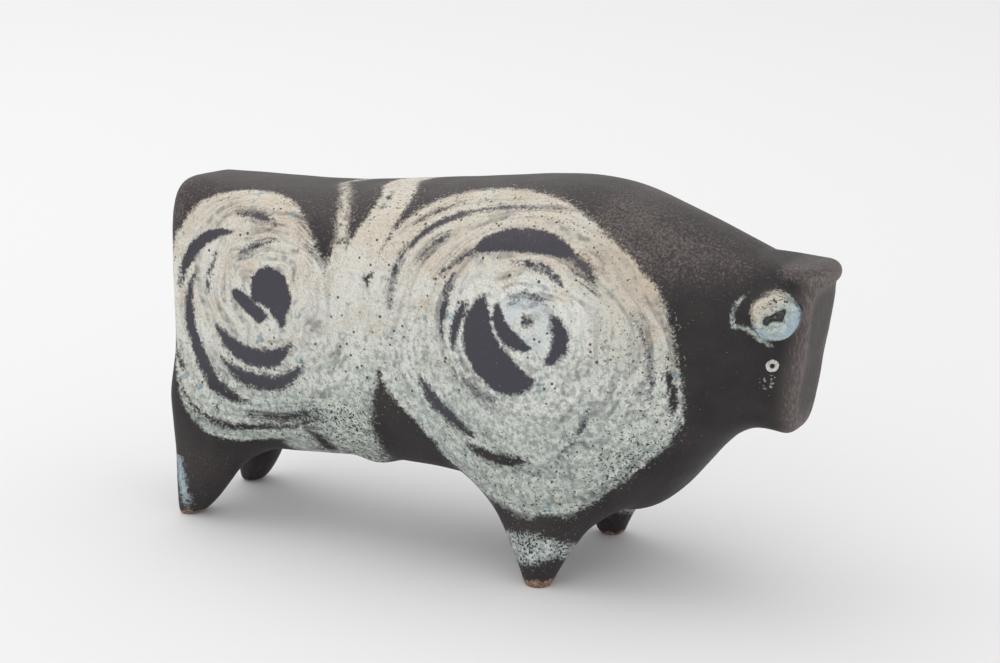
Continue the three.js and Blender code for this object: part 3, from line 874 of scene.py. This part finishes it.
def whorl_cover(x, g, centre, reach):
    """Distance inside the outline of a whorl."""
    far, turn = polar(x, g, centre)
    steps = np.arange(-3, 16)
    edge = spline(steps * 30, np.take(reach, steps, mode="wrap"))
    return (edge(turn % 360) - far) * 0.93


def gap_distance(x, g, centre, gap):
    """Distance to the edge of an arc that thins to nothing at both ends. It is negative inside."""
    start, end, near, middle, far_end, half_width = gap[:6]
    far, turn = polar(x, g, centre)
    turn = (turn - (start + end) / 2 + 180) % 360 - 180 + (start + end) / 2
    share = np.clip((turn - start) / (end - start), 0, 1)
    line = near * (1 - share) * (1 - 2 * share) + far_end * share * (2 * share - 1)
    line += middle * 4 * share * (1 - share)
    past_end = np.radians(turn - (start + (end - start) * share)) * far
    return np.hypot(far - line, past_end) - half_width * np.sqrt(np.sin(math.pi * share) + 1e-9) ** 1.3


def stroke_distance(x, g, points):
    """Distance to the edge of a stroke through points, each with its place and half its width there."""
    nearest = np.full(np.shape(x), 1e3)
    for (x0, g0, w0), (x1, g1, w1) in zip(points, points[1:]):
        run, rise = x1 - x0, g1 - g0
        share = np.clip(((x - x0) * run + (g - g0) * rise) / (run**2 + rise**2), 0, 1)
        away = np.hypot(x - x0 - run * share, g - g0 - rise * share)
        nearest = np.minimum(nearest, away - (w0 + (w1 - w0) * share))
    return nearest


# Strokes that aren't part of a whorl: points along each, with half its width, and how dry it is.
OVER_BACK = BACK_HEIGHT + 34
WASHES = [
    ([(-47, 109, 2.5), (-44, 97, 8), (-41, 83, 15), (-45, 68, 15)], 0.7),
    ([(-46, 66, 15), (-49, 50, 15), (-52, 38, 18), (-54, 27, 20)], 0.95),
    ([(-43, OVER_BACK, 5), (-38, 147, 6), (-33, 138, 6), (-32.5, 131, 6), (-34, 120, 6), (-38, 106, 7)], 0.4),
    ([(-63, 146, 1.2), (-54, 136, 1.7), (-50, 126, 2.2), (-47.5, 117, 2.3), (-45.5, 106, 2.6)], 1.0),
]
WASH_GAPS = [
    ([(-20, OVER_BACK, 8), (-22.5, 148, 6), (-22.5, 141, 4), (-23.6, 134, 2.6), (-25.4, 127, 1)], 0.4),
    ([(-36.5, 139, 0.5), (-35.5, 134, 0.9), (-36.0, 129, 0.3)], 0.5),
    ([(-63, 41, 0.4), (-58, 34, 2.2), (-56, 26, 3.0)], 0.9),
    ([(-27, 60, 0.8), (-22, 50, 4.5), (-17, 38, 8.0), (-16, 27, 11)], 0.5),
]
# A dark comma fills the haunch's centre, with a pale hook in it, and a thin drip runs beside each horn.
# Their points are measured from the centre of the haunch and from the middle of the horn.
COMMA = [
    ([(0.6, 0.8, 8.8), (1.6, -0.6, 8.4)], 0.05),
    ([(3.4, -4.5, 5.2), (5.0, -8.6, 2.4)], 0.05),
    ([(-14.4, -2.8, 2.2), (-8.6, -5.9, 2.9), (-4.2, -8.4, 2.9)], 0.05),
]
DRIP = [(-8.4, 6.6, 0.0), (-11.8, 3.4, 0.45), (-13.8, -1.0, 0.6), (-12.8, -4.6, 0.7), (-10.2, -4.8, 0.7)]
DRIP += [(-5.6, -6.8, 0.75), (-2.6, -9.2, 0.6), (-0.4, -10.4, 0.0)]
COMMA_HOOK = [(4.6, -13.4, 1.9), (2.1, -9.4, 1.3), (-0.2, -6.9, 1.0), (-2.4, -5.2, 0.7), (-4.4, -4.4, 0.3)]
print(len(HAUNCH_GAPS) + len(SHOULDER_GAPS), "gaps in the two whorls")

# %% [markdown]
# The far flank isn't seen in the photograph. It gets the same two whorls, with each gap turned and
# widened a little, because no potter brushes the same arc twice.

# %% Paint the vertices
BELLY_EDGE_Z = 26.3
LEG_GLAZE_Z = 24.5


def varied(gaps, side):
    """The gaps as they are on the right flank, and shifted by a few degrees and millimetres on the left."""
    if side < 0:
        return gaps
    shifted = []
    for number, (start, end, near, middle, far_end, half_width, dry) in enumerate(gaps):
        turn = 9 * math.sin(2.1 * number + 0.7)
        out = 1 + 0.035 * math.sin(3.3 * number + 1.1)
        wide = 1 + 0.2 * math.sin(1.7 * number)
        line = (near * out, middle * out, far_end * out)
        shifted.append((start + turn, end + turn, *line, half_width * wide, dry))
    return shifted


def girth_of(x, y, z):
    """How far up the flank's sheet places lie, where the bull's length is the sheet's other direction."""
    top = top_at(x)
    belly = belly_at(x)
    climb = np.clip((z - (top + belly) / 2) / ((top - belly) / 2), -1, 1)
    return z + 0.7 * (half_width_at(x) - np.abs(y)) * climb


def eased(value, low, high):
    """Goes smoothly from 0 to 1 as value goes from low to high."""
    share = np.clip((value - low) / (high - low), 0, 1)
    return share * share * (3 - 2 * share)


def arcs(x, g, centre, gaps, side):
    return [(gap_distance(x, g, centre, gap), gap[6]) for gap in varied(gaps, side)]


def strokes(x, g, marks):
    return [(stroke_distance(x, g, points), dryness) for points, dryness in marks]


def lay_on(cover, dry, marks):
    """Adds marks, each a distance to its edge and a dryness, to the cover and to the dryness at its edge."""
    for distance, dryness in marks:
        dry = np.where(-distance > cover, dryness, dry)
        cover = np.maximum(cover, -distance)
    return cover, dry


def leave_out(cover, dry, gaps):
    """Takes gaps out of the cover, each a distance to its edge and a dryness."""
    for distance, dryness in gaps:
        dry = np.where(distance < cover, dryness, dry)
        cover = np.minimum(cover, distance)
    return cover, dry


def flank_cover(x, g, side):
    """How deep inside the pale glaze each place is, in millimetres, and how dry the nearest edge is."""
    u, v = x - HAUNCH[0], g - HAUNCH[1]
    ring_u, ring_v = x - RING[0], g - RING[1]
    ring_far = np.hypot(ring_u, ring_v)
    cover = whorl_cover(x, g, HAUNCH, HAUNCH_REACH)
    dry = 0.3 + 0.9 * eased(u, -4, 14) * eased(v, 4, 22)
    cover, dry = lay_on(cover, dry, [(-whorl_cover(x, g, SHOULDER, SHOULDER_REACH), 0.45)])
    cover, dry = lay_on(cover, dry, strokes(x, g, WASHES))
    cover, dry = leave_out(cover, dry, arcs(x, g, HAUNCH, HAUNCH_GAPS, side))
    cover, dry = leave_out(cover, dry, arcs(x, g, SHOULDER, SHOULDER_GAPS, side))
    cover = np.maximum(cover, np.maximum(7.4 - ring_far, -stroke_distance(ring_u, ring_v, BRIDGE)))
    cover, dry = leave_out(cover, dry, arcs(x, g, RING, RING_GAPS, side))
    cover, dry = leave_out(cover, dry, [(ring_far - 2.0, 0.5), *strokes(u, v, COMMA)])
    cover = np.maximum(cover, -stroke_distance(u, v, COMMA_HOOK))
    return leave_out(cover, dry, strokes(x, g, WASH_GAPS))


def brush_whorls(x, y, z, girth, inside):
    """The values of the two whorls and of the strokes between them."""
    flanks = [flank_cover(x, girth, side) for side in (-1, 1)]
    cover, dry = (np.where(y < 0, right, left) for right, left in zip(*flanks))
    # Under the belly and on the legs the whorls stop.
    cover = np.minimum(cover, z - BELLY_EDGE_Z + 1.2 * np.sin(x / 3.1))
    # Behind the rump the brush turns the corner a little and runs dry.
    round_corner = np.maximum(RUMP_X + 2 - x, 0) * 2 + np.maximum(22 - np.abs(y), 0)
    back_edge = 10 - round_corner + 1.6 * np.sin(z / 5.3) + 1.1 * np.sin(z / 2.1 + 1)
    back_edge = np.where(x < RUMP_X + 8, back_edge, 40)
    cover = np.minimum(cover, back_edge)
    dry = np.maximum(dry, np.maximum(0.9 * eased(12 - back_edge, 0, 8), 0.8 * eased(34 - z, 0, 6)))
    haunch_far, haunch_turn = polar(x, girth, HAUNCH)
    shoulder_far, shoulder_turn = polar(x, girth, SHOULDER)
    nearer_haunch = haunch_far + 12 < shoulder_far
    far = np.where(nearer_haunch, haunch_far, shoulder_far)
    turn = np.radians(np.where(nearer_haunch, haunch_turn, shoulder_turn))
    waver = 1.5 * np.sin(3 * turn + far / 7) + 1.0 * np.sin(7 * turn + far / 4.3 + 1.0)
    between = eased(np.abs(haunch_far - shoulder_far + 12), 3, 14)
    thinned = 0.12 * np.maximum(x - 40, 0) * eased(girth, 80, 100)
    ring = eased(30 - shoulder_far, 0, 12)
    ring_far = polar(x, girth, RING)[0]
    halo = eased(ring_far, 2.5, 5) * eased(12 - ring_far, 0, 4)
    pores = 0.2 + 0.35 * eased(76 - girth, 0, 34) + 0.4 * eased(girth, 112, 134) - 0.25 * ring
    pores += 0.3 * eased(x, 42, 58) * eased(106 - girth, 0, 16)
    pores += 0.4 * eased(-24 - x, 0, 8) * eased(x, -72, -58) * eased(62 - girth, 0, 16)
    milk = 0.45 + 0.4 * eased(118 - girth, 0, 22) - 0.3 * eased(72 - girth, 0, 30) + 0.5 * ring
    milk += 0.5 * halo - 0.35 * eased(x, 40, 58) * eased(girth, 70, 90)
    return {
        "cover": cover,
        "dry": dry,
        "thick": eased(108 - girth + 0.25 * (20 - shoulder_far) - thinned, -8, 44),
        "pores": pores,
        "milk": milk,
        "blue": 0.35 * halo,
        "along_brush": np.stack([far + waver, np.cos(turn) * 9, np.sin(turn) * 9], axis=1),
        "whorl": between * eased(inside, -6, 2),
    }


def lay(paint, where, **values):
    """Puts new values where a mark lies and keeps the old ones elsewhere."""
    for name, value in values.items():
        paint[name] = np.where(where, value, paint[name])


def brush_legs(paint, x, y, z):
    """A broken pale band on each front leg, a blue-grey dab behind each hind leg, and bare clay below."""
    on_leg = eased(LEG_GLAZE_Z - z, 0, 1.5)
    front = (x > 0).astype(float)
    band = 5.6 - np.abs(z - 13.6 + 1.3 * np.sin(x / 5 + y / 4))
    band -= 2.6 * eased(x - FRONT_LEG["foot"][0], -2, 9)
    beside_dab = np.maximum(np.abs(x - RUMP_X - 5.1 - 0.12 * (14 - z)) - 0.4, 0)
    beyond_dab = np.maximum(np.abs(z - 14) - 6.0, 0) * 0.4
    dab = np.where(np.abs(y) > 20, 1.2 - np.hypot(beside_dab, beyond_dab), -9)
    lay(paint, on_leg > 0.5, cover=np.where(front > 0, band, dab), dry=0.75, pores=0.95 * front + 0.15)
    paint["thick"] = np.maximum(paint["thick"], on_leg)
    paint["blue"] = np.maximum(paint["blue"], (0.75 - 0.6 * front) * on_leg)
    bare = 1.9 + 1.0 * front - z + 0.5 * np.sin(x * 0.9 + y * 1.1) - 1.6 * (y > 0)
    paint["bare"] = np.clip(bare, -9, 9)


def glaze_horns(paint, x, y, z):
    """Pale glaze on the horns, blue where it ran thick, and the drip beside each one."""
    u, v, h = from_seat(HORN_SEAT, x, np.abs(y), z)
    far = np.hypot(u, v)
    drip_cover = np.where(h > -6, -stroke_distance(u, v, DRIP), -9)
    horn_cover = np.where(h > -3, 7.7 - far + 0.25 * np.sin(5 * np.arctan2(v, u)), -9)
    pale = np.maximum(drip_cover, horn_cover)
    lay(paint, x > NECK_JOINT_X - 2, cover=np.maximum(pale, paint["cover"]))
    near_horn = eased(18 - far, 0, 3) * (x > NECK_JOINT_X)
    blue_rim = np.maximum(eased(u - 0.5 * v, 1.0, 7.5), 0.7 * eased(-v - 0.3 * u, 3, 7))
    blue_rim *= eased(9.5 - far, 0, 1.5)
    paint["blue"] = np.maximum(paint["blue"] * (1 - near_horn), 0.9 * blue_rim * near_horn)
    beige = eased(v - u, 1, 7) * near_horn * eased(9 - far, 0, 1)
    lay(paint, near_horn > 0.5, dry=0.05, thick=1 - 0.8 * beige)
    lay(paint, near_horn > 0.5, pores=0.1 + 0.55 * eased(v - u, -5, 5), milk=0.15 + 0.3 * eased(u - v, 0, 8))


def paint_wear_and_sheen(paint, x, y, z, girth, inside):
    """Worn places: high places, edges and the rim of the face. On the tops of the back and lip the lighter
    brown is partly worn grain and partly painted sheen from the light above.
    """
    # The tops of the back are lightened: partly worn brown grain, partly painted sheen where light from above
    # falls.
    high = 0.1 + (0.5 - 0.34 * eased(x, 40, 75)) * eased(z - (top_at(x) - 24), 0, 20)
    beside_whorl = eased(inside, -58, -3) * eased(x, 30, 50) * eased(girth, 92, 124)
    rump_edge = eased(RUMP_X + 12 - x, 0, 8) * eased(z, 60, 112)
    # The top of the lip is lightened the same way: partly worn, partly painted sheen.
    lip = eased(x - (LIP["x"] - 9), 0, 9) * eased(z - (LIP["z"] - 4), 0, 4)
    low = eased(36 - z, 0, 12)
    paint["wear"] = np.max([high, 0.95 * beside_whorl, 0.8 * rump_edge, 0.85 * lip, 0.35 * low], axis=0)
    face_wear = eased(before_face(x, z), -7.5, 0) * (x > NECK_JOINT_X) * eased(LIP["z"] + 4 - z, 0, 5)
    paint["face_wear"] = face_wear * (0.45 + 0.55 * eased(trunk(x, y, z), -11, -3))


def spray_drops(paint, x, z, girth, inside):
    """Fine drops beside the strokes and below the eyes, and dark pools that stay clear of them."""
    near = eased(paint["cover"], -7, -0.5) * (x < NECK_JOINT_X + 6)
    spray = near * (0.25 + 0.45 * eased(x, -70, -40) + 0.3 * eased(girth, 112, 132))
    below_eye = eased(3.4 - np.hypot(x - EYE["x"] + 1.5, 0.7 * (z - EYE["z"] + 5.5)), 0, 2)
    spray = np.maximum(spray, 1.05 * below_eye * (x > NECK_JOINT_X))
    paint["pool"] = eased(inside, 2, 9) * eased(girth, 44, 60)
    paint["spray"] = spray * (1 - 0.85 * paint["pool"])


def paint_values(points):
    """Everything the materials read from the skin, worked out at each vertex."""
    x, y, z = points.T
    girth = girth_of(x, y, z)
    on_haunch = whorl_cover(x, girth, HAUNCH, HAUNCH_REACH)
    inside = np.maximum(on_haunch, whorl_cover(x, girth, SHOULDER, SHOULDER_REACH))
    paint = brush_whorls(x, y, z, girth, inside)
    brush_legs(paint, x, y, z)
    glaze_horns(paint, x, y, z)
    paint_wear_and_sheen(paint, x, y, z, girth, inside)
    spray_drops(paint, x, z, girth, inside)
    paint["cover"] = np.clip(paint["cover"], -12, 12)
    return paint


print("paint ready")

# %% [markdown]
# ## Shared glaze effects
# Each effect that several materials use is a node group with named inputs. The first one turns the
# distances on the skin into a ragged brushed edge: fine grain everywhere, and long hairs along the stroke
# where the brush was dry.

# %% Build the brushed edge group
EDGE_INPUTS = ("Place", "Brush", "Cover", "Dry", "Pores", "Spray", "Whorl")
edge_group, given = new_group("brushed_edge", EDGE_INPUTS, ("Mask",))
place, brush, cover, dry, pores, spray, whorl = given
grain = noise(place, 0.85, 3.0, 0.65) - 0.5
clump = noise(place, 2.8, 3.0, 0.6) - 0.5
hair = noise(scaled(brush, (0.6, 0.24, 0.24)), 1.0, 2.0, 0.5)
ragged = grain * (dry * 4.5 + 2.4) + clump * (dry * 4.5 + 2.0)
hairs = (hair - 0.5) * (dry * 3.0 + 1.0) * whorl
soft_edge = dry * 1.1 + 0.55
solid = ramp(cover + ragged + hairs, soft_edge * -1.0, soft_edge)
# A brush that runs dry skips along its own path.
skips = blend_value(whorl, clump + 0.5, hair)
skipped = ramp(skips, 0.46, 0.66) * ramp(dry, 0.5, 1.0) * ramp(cover, 1.5, 6.0, 1.0, 0.15)
solid = solid * (1.0 - skipped * ramp(grain, -0.14, 0.08, 0.2, 0.95))
# Between two turns of the brush the glaze is thinner, and the dark ground shows through as smoke.
turns = noise(scaled(brush, (0.26, 0.13, 0.13)), 1.0, 1.0, 0.5)
smoke = ramp(turns, 0.51, 0.68, 0.0, 0.55) * whorl * ramp(clump, -0.12, 0.14, 0.1, 1.0)
solid = solid * (1.0 - smoke)
hole_limit = pores * noise(place, 4.5, 3.0, 0.6) * 0.36 + 0.25
whole = ramp(noise(place, 0.85, 2.0, 0.6) - hole_limit, -0.05, 0.04)
drops = noise(place, 0.95, 2.0, 0.5) - (0.74 - spray * 0.17)
mask = (solid * whole).calc("MAXIMUM", ramp(drops, -0.03, 0.09, 0.0, 0.4))
add_node(edge_group, "NodeGroupOutput", {"Mask": mask})
print("brushed edge:", len(edge_group.nodes), "nodes")

# %% [markdown]
# The ground glaze is a matte iron black. It breaks to brown in fine grain, and where it pooled between
# strokes of pale glaze it fired smooth and blue-black.

# %% Build the iron glaze group
IRON_BLACK = srgb(30, 27, 29)
IRON_BROWN = srgb(50, 44, 44)
POOL_BLUE = srgb(63, 63, 73)
DUST_AND_SHEEN_BROWN = srgb(84, 75, 75)
WORN_BROWN = srgb(142, 130, 126)
IRON_INPUTS = ("Place", "Pool", "Wear")
iron_group, (place, pool, wear) = new_group("iron_glaze", IRON_INPUTS, ("Color", "Roughness"))
crumb = noise(place, 0.8, 3.0, 0.65)
brownish = ramp(noise(place, 16.0, 3.0, 0.6), 0.35, 0.7, 0.0, 0.6) + ramp(crumb, 0.5, 0.75, 0.0, 0.35)
pooled = blend(pool * 0.75, blend(brownish, IRON_BLACK, IRON_BROWN), POOL_BLUE)
scuffs = noise(place, 0.8, 4.0, 0.75)
scuff_area = noise(place, 9.0, 2.0, 0.6)
limit = 0.71 - wear * (scuff_area * 0.12 + 0.21)
worn = ramp(scuffs - limit, -0.08, 0.2, 0.0, 0.5)
# Where the skin's value is high the black turns a lighter dusty brown: worn grain, and on the tops of the
# back and lip also painted sheen.
dust_and_sheen = blend(wear * ramp(scuff_area, 0.2, 0.8, 0.2, 0.5), pooled, DUST_AND_SHEEN_BROWN)
gloss = (crumb - 0.5) * 0.25 + 0.56 - pool * 0.13 + worn * 0.2
add_node(iron_group, "NodeGroupOutput", {"Color": blend(worn, dust_and_sheen, WORN_BROWN), "Roughness": gloss})
print("iron glaze:", len(iron_group.nodes), "nodes")

# %% [markdown]
# The brushed glaze is a milky ash glaze. It is warm beige where it is thin and grey-green where it is
# thick, it mottles and turns blue in spots, and iron grains from the clay bleed through it as dark
# specks.

# %% Build the pale glaze group
THIN_BEIGE = srgb(195, 180, 160)
THICK_GREEN = srgb(186, 195, 187)
MILKY = srgb(217, 218, 211)
MOTTLE_GREY = srgb(108, 122, 118)
SPOT_BLUE = srgb(118, 148, 160)
DEEP_BLUE = srgb(158, 180, 196)
IRON_SPECK = srgb(52, 42, 38)
RUST = srgb(140, 84, 44)
PALE_INPUTS = ("Place", "Brush", "Thick", "Milk", "Blue", "Whorl")
pale_group, given = new_group("pale_ash_glaze", PALE_INPUTS, ("Color", "Roughness", "Specks"))
place, brush, thick, milk, blue, whorl = given
cloud = noise(place, 10.0, 3.0, 0.6)
grain = noise(place, 0.7, 3.0, 0.65)
tone = blend(thick.calc("ADD", (cloud - 0.5) * 0.9, clamp=True), THIN_BEIGE, THICK_GREEN)
curdled = ramp(cloud * 0.55 + grain * 0.45, 0.32, 0.58, 0.1, 1.0)
tone = blend(curdled * milk, tone, MILKY)
mottle = noise(place, 1.8, 4.0, 0.6)
mottle_limit = thick * -0.16 + milk * 0.04 + 0.59
tone = blend(ramp(mottle - mottle_limit, -0.06, 0.16, 0.0, 0.62), tone, MOTTLE_GREY)
streak = noise(scaled(brush, (0.5, 0.14, 0.14)), 1.0, 2.0, 0.5)
tone = blend(ramp(streak, 0.5, 0.7, 0.0, 0.3) * whorl, tone, MOTTLE_GREY)
distance, dice = scattered(place, 8.5)
spots = ramp(dice[0] * 0.2 - distance, -0.09, 0.05, 0.0, 0.65)
tone = blend(spots * ramp(mottle, 0.4, 0.56), tone, SPOT_BLUE)
tone = blend(blue * ramp(cloud, 0.3, 0.55, 0.45, 0.95), tone, DEEP_BLUE)
distance, dice = scattered(place, 2.9)
specks = ramp(dice[1] * 0.32 - 0.14 - distance, -0.05, 0.02)
tone = blend(specks * 0.88, tone, blend(ramp(dice[2], 0.9, 0.95), IRON_SPECK, RUST))
grainy = {"Value": ramp(grain, 0.3, 0.7, 0.86, 1.06), "Color": tone}
tinted = add_node(pale_group, "ShaderNodeHueSaturation", grainy)[0]
results = {"Color": tinted, "Roughness": ramp(grain, 0.3, 0.7, 0.5, 0.62), "Specks": specks}
add_node(pale_group, "NodeGroupOutput", results)
print("pale glaze:", len(pale_group.nodes), "nodes")

# %% [markdown]
# The brushed glaze stands a tenth of a millimetre proud of the ground glaze, and both have a fine skin of
# pits from the kiln. One group adds this up as a height, and each material bends its light with it.

# %% Build the relief group
relief_group, (place, mask, specks) = new_group("glaze_relief", ("Place", "Mask", "Specks"), ("Height",))
pits = noise(place, 0.9, 4.0, 0.65)
swells = noise(place, 4.5, 2.0, 0.5)
height = pits * 0.5 + swells * 0.9 + mask * 0.85 + specks * -0.4
add_node(relief_group, "NodeGroupOutput", {"Height": height})
print("relief:", len(relief_group.nodes), "nodes")

# %% [markdown]
# ## Materials
# The body shows both glazes, the brushed one over the ground one. The legs also show bare clay, because
# the potter wiped the feet so that they wouldn't stick to the kiln shelf. The horns are dipped in the
# pale glaze, and the eye rings are plain white slip.

# %% Make the materials
BUMP_HEIGHT = 0.00016
GLOSS_LEVEL = 0.31
PER_METRE = (1000.0, 1000.0, 1000.0)
BARE_CLAY = srgb(152, 130, 114)
BURNT_CLAY = srgb(112, 84, 70)
GROOVE_SHADE_BROWN = srgb(52, 45, 45)
SLIP_WHITE = srgb(222, 222, 214)
SLIP_GREY = srgb(166, 166, 160)
GLAZE_VALUES = sorted({*EDGE_INPUTS, *IRON_INPUTS, *PALE_INPUTS} - {"Place", "Brush"})


def begin_material(name):
    """A material, its node tree and the place on the piece in millimetres."""
    material = bpy.data.materials.new(name)
    material.use_nodes = True
    tree = material.node_tree
    return material, tree, scaled(add_node(tree, "ShaderNodeTexCoord")["Object"], PER_METRE)


def finish_material(tree, colour, roughness, height):
    bump = add_node(tree, "ShaderNodeBump", {"Height": height, "Distance": BUMP_HEIGHT, "Strength": 1.0})[0]
    surface = {"Base Color": colour, "Roughness": roughness, "Specular IOR Level": GLOSS_LEVEL}
    fill(tree.nodes["Principled BSDF"], {**surface, "Normal": bump})


def glaze_layers(tree, place):
    """The ground glaze and the brushed glaze on it. Returns colour, roughness and height."""
    read = {label: painted(tree, label.lower())["Fac"] for label in GLAZE_VALUES}
    read.update({"Place": place, "Brush": painted(tree, "along_brush")["Vector"]})

    def placed(group, labels):
        return add_node(tree, "ShaderNodeGroup", {label: read[label] for label in labels}, node_tree=group)

    read["Mask"] = placed(edge_group, EDGE_INPUTS)["Mask"]
    iron = placed(iron_group, IRON_INPUTS)
    pale = placed(pale_group, PALE_INPUTS)
    read["Specks"] = pale["Specks"]
    height = placed(relief_group, ("Place", "Mask", "Specks"))["Height"]
    colour = blend(read["Mask"], iron["Color"], pale["Color"])
    return colour, blend_value(read["Mask"], iron["Roughness"], pale["Roughness"]), height


body_glaze, tree, place = begin_material("brushed_iron_glaze")
colour, roughness, height = glaze_layers(tree, place)
# The rim of the face is rubbed bare in upright streaks.
face_wear = painted(tree, "face_wear")["Fac"]
upright = noise(scaled(place, (1.0, 1.0, 0.2)), 0.6, 4.0, 0.7)
rubbed = ramp(upright - (0.76 - face_wear * 0.26), -0.1, 0.16, 0.0, 0.42) + face_wear * 0.24
finish_material(tree, blend(rubbed, colour, WORN_BROWN), roughness, height)

leg_glaze, tree, place = begin_material("leg_glaze_and_bare_foot")
colour, roughness, height = glaze_layers(tree, place)
clay_grain = noise(place, 1.1, 3.0, 0.6)
clay_tone = blend(ramp(clay_grain, 0.35, 0.65), BURNT_CLAY, BARE_CLAY)
wiped = ramp(painted(tree, "bare")["Fac"] + (clay_grain - 0.5) * 1.6, -0.25, 0.25)
finish_material(tree, blend(wiped, colour, clay_tone), blend_value(wiped, roughness, 0.85), height)

horn_glaze, tree, place = begin_material("horn_ash_glaze")
colour, roughness, height = glaze_layers(tree, place)
# Deeper in the groove the glaze darkens towards brown: partly the ground glaze showing through, partly
# painted shade in the hollow.
ragged_groove_shade = painted(tree, "groove")["Fac"] + (noise(place, 1.2, 3.0, 0.6) - 0.5) * 3.2
groove_shade = ramp(ragged_groove_shade, 0.3, 0.9, 0.0, 0.85)
finish_material(tree, blend(groove_shade, colour, GROOVE_SHADE_BROWN), roughness, height)

white_slip, tree, place = begin_material("white_slip")
chalk = noise(place, 0.5, 3.0, 0.6)
slip_tone = blend(ramp(chalk, 0.4, 0.62), SLIP_GREY, SLIP_WHITE)
slip_tone = blend(painted(tree, "deep")["Fac"], slip_tone, IRON_BLACK)
height = add_node(tree, "ShaderNodeGroup", {"Place": place}, node_tree=relief_group)["Height"]
finish_material(tree, slip_tone, ramp(chalk, 0.3, 0.7, 0.5, 0.7), height)
print("materials:", [m.name for m in (body_glaze, leg_glaze, horn_glaze, white_slip)])

# %% [markdown]
# ## Dressing the part
# Each skin now takes the place of its solid. Its paint is worked out at its vertices, and its normals
# come from the form itself, so that light runs over the luted joints without a line, as it does on the
# fired figure.

# %% Paint the pieces and put them in place
def keep_value(mesh, name, values):
    kind = "FLOAT_VECTOR" if values.ndim == 2 else "FLOAT"
    layer = mesh.attributes.new(name, kind, "POINT")
    layer.data.foreach_set("vector" if values.ndim == 2 else "value", values.astype(np.float32).ravel())


def smooth_normals(mesh, points, form):
    """Corners on the skin take the form's own direction, and corners on a cut keep the face's."""
    corner_vertex = np.empty(len(mesh.loops), int)
    mesh.loops.foreach_get("vertex_index", corner_vertex)
    face_normal = np.empty(len(mesh.polygons) * 3)
    mesh.polygons.foreach_get("normal", face_normal)
    sides = np.empty(len(mesh.polygons), int)
    mesh.polygons.foreach_get("loop_total", sides)
    face_of_corner = np.repeat(np.arange(len(mesh.polygons)), sides)
    direction = uphill(form, points, 0.15)
    direction /= np.maximum(np.linalg.norm(direction, axis=1), 1e-6)[:, None]
    on_skin = np.abs(form(*points.T)) < 0.08
    corners = face_normal.reshape(-1, 3)[face_of_corner]
    smooth = direction[corner_vertex]
    agree = (corners * smooth).sum(axis=1) > 0.55
    all_on_skin = np.ones(len(mesh.polygons), bool)
    np.logical_and.at(all_on_skin, face_of_corner, on_skin[corner_vertex])
    use = agree & all_on_skin[face_of_corner]
    corners[use] = smooth[use]
    mesh.polygons.foreach_set("use_smooth", np.ones(len(mesh.polygons), bool))
    mesh.normals_split_custom_set(corners.tolist())


MATERIALS = {"leg": leg_glaze, "horn": horn_glaze, "ring": white_slip}
for name, mesh in meshes.items():
    points = np.empty(len(mesh.vertices) * 3)
    mesh.vertices.foreach_get("co", points)
    points = points.reshape(-1, 3) / MM
    kind = name.split("_")[-1]
    if kind == "ring":
        u, v, h = from_seat(EYE_SEAT, points[:, 0], np.abs(points[:, 1]), points[:, 2])
        keep_value(mesh, "deep", eased(RING_MIDDLE - 0.55 - np.hypot(u, v), 0, 0.25))
        mesh.polygons.foreach_set("use_smooth", np.ones(len(mesh.polygons), bool))
    else:
        for value_name, values in paint_values(points).items():
            keep_value(mesh, value_name, values)
        smooth_normals(mesh, points, clay)
    if kind == "horn":
        # How deep each point lies in the horn's groove; the horn material darkens with it, partly as painted
        # shade.
        keep_value(mesh, "groove", eased(np.maximum(-horn_depth(points), 0), 0, 1.8))
    mesh.name = name + "_skin"
    mesh.materials.clear()
    mesh.materials.append(MATERIALS.get(kind, body_glaze))
    piece = put_in_scene(name + "_skin", mesh)
    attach(piece, "root")
    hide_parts(name)

for tool in list(scratch.objects):
    bpy.data.objects.remove(tool)
bpy.data.collections.remove(scratch)
print("dressed", len(meshes), "pieces")
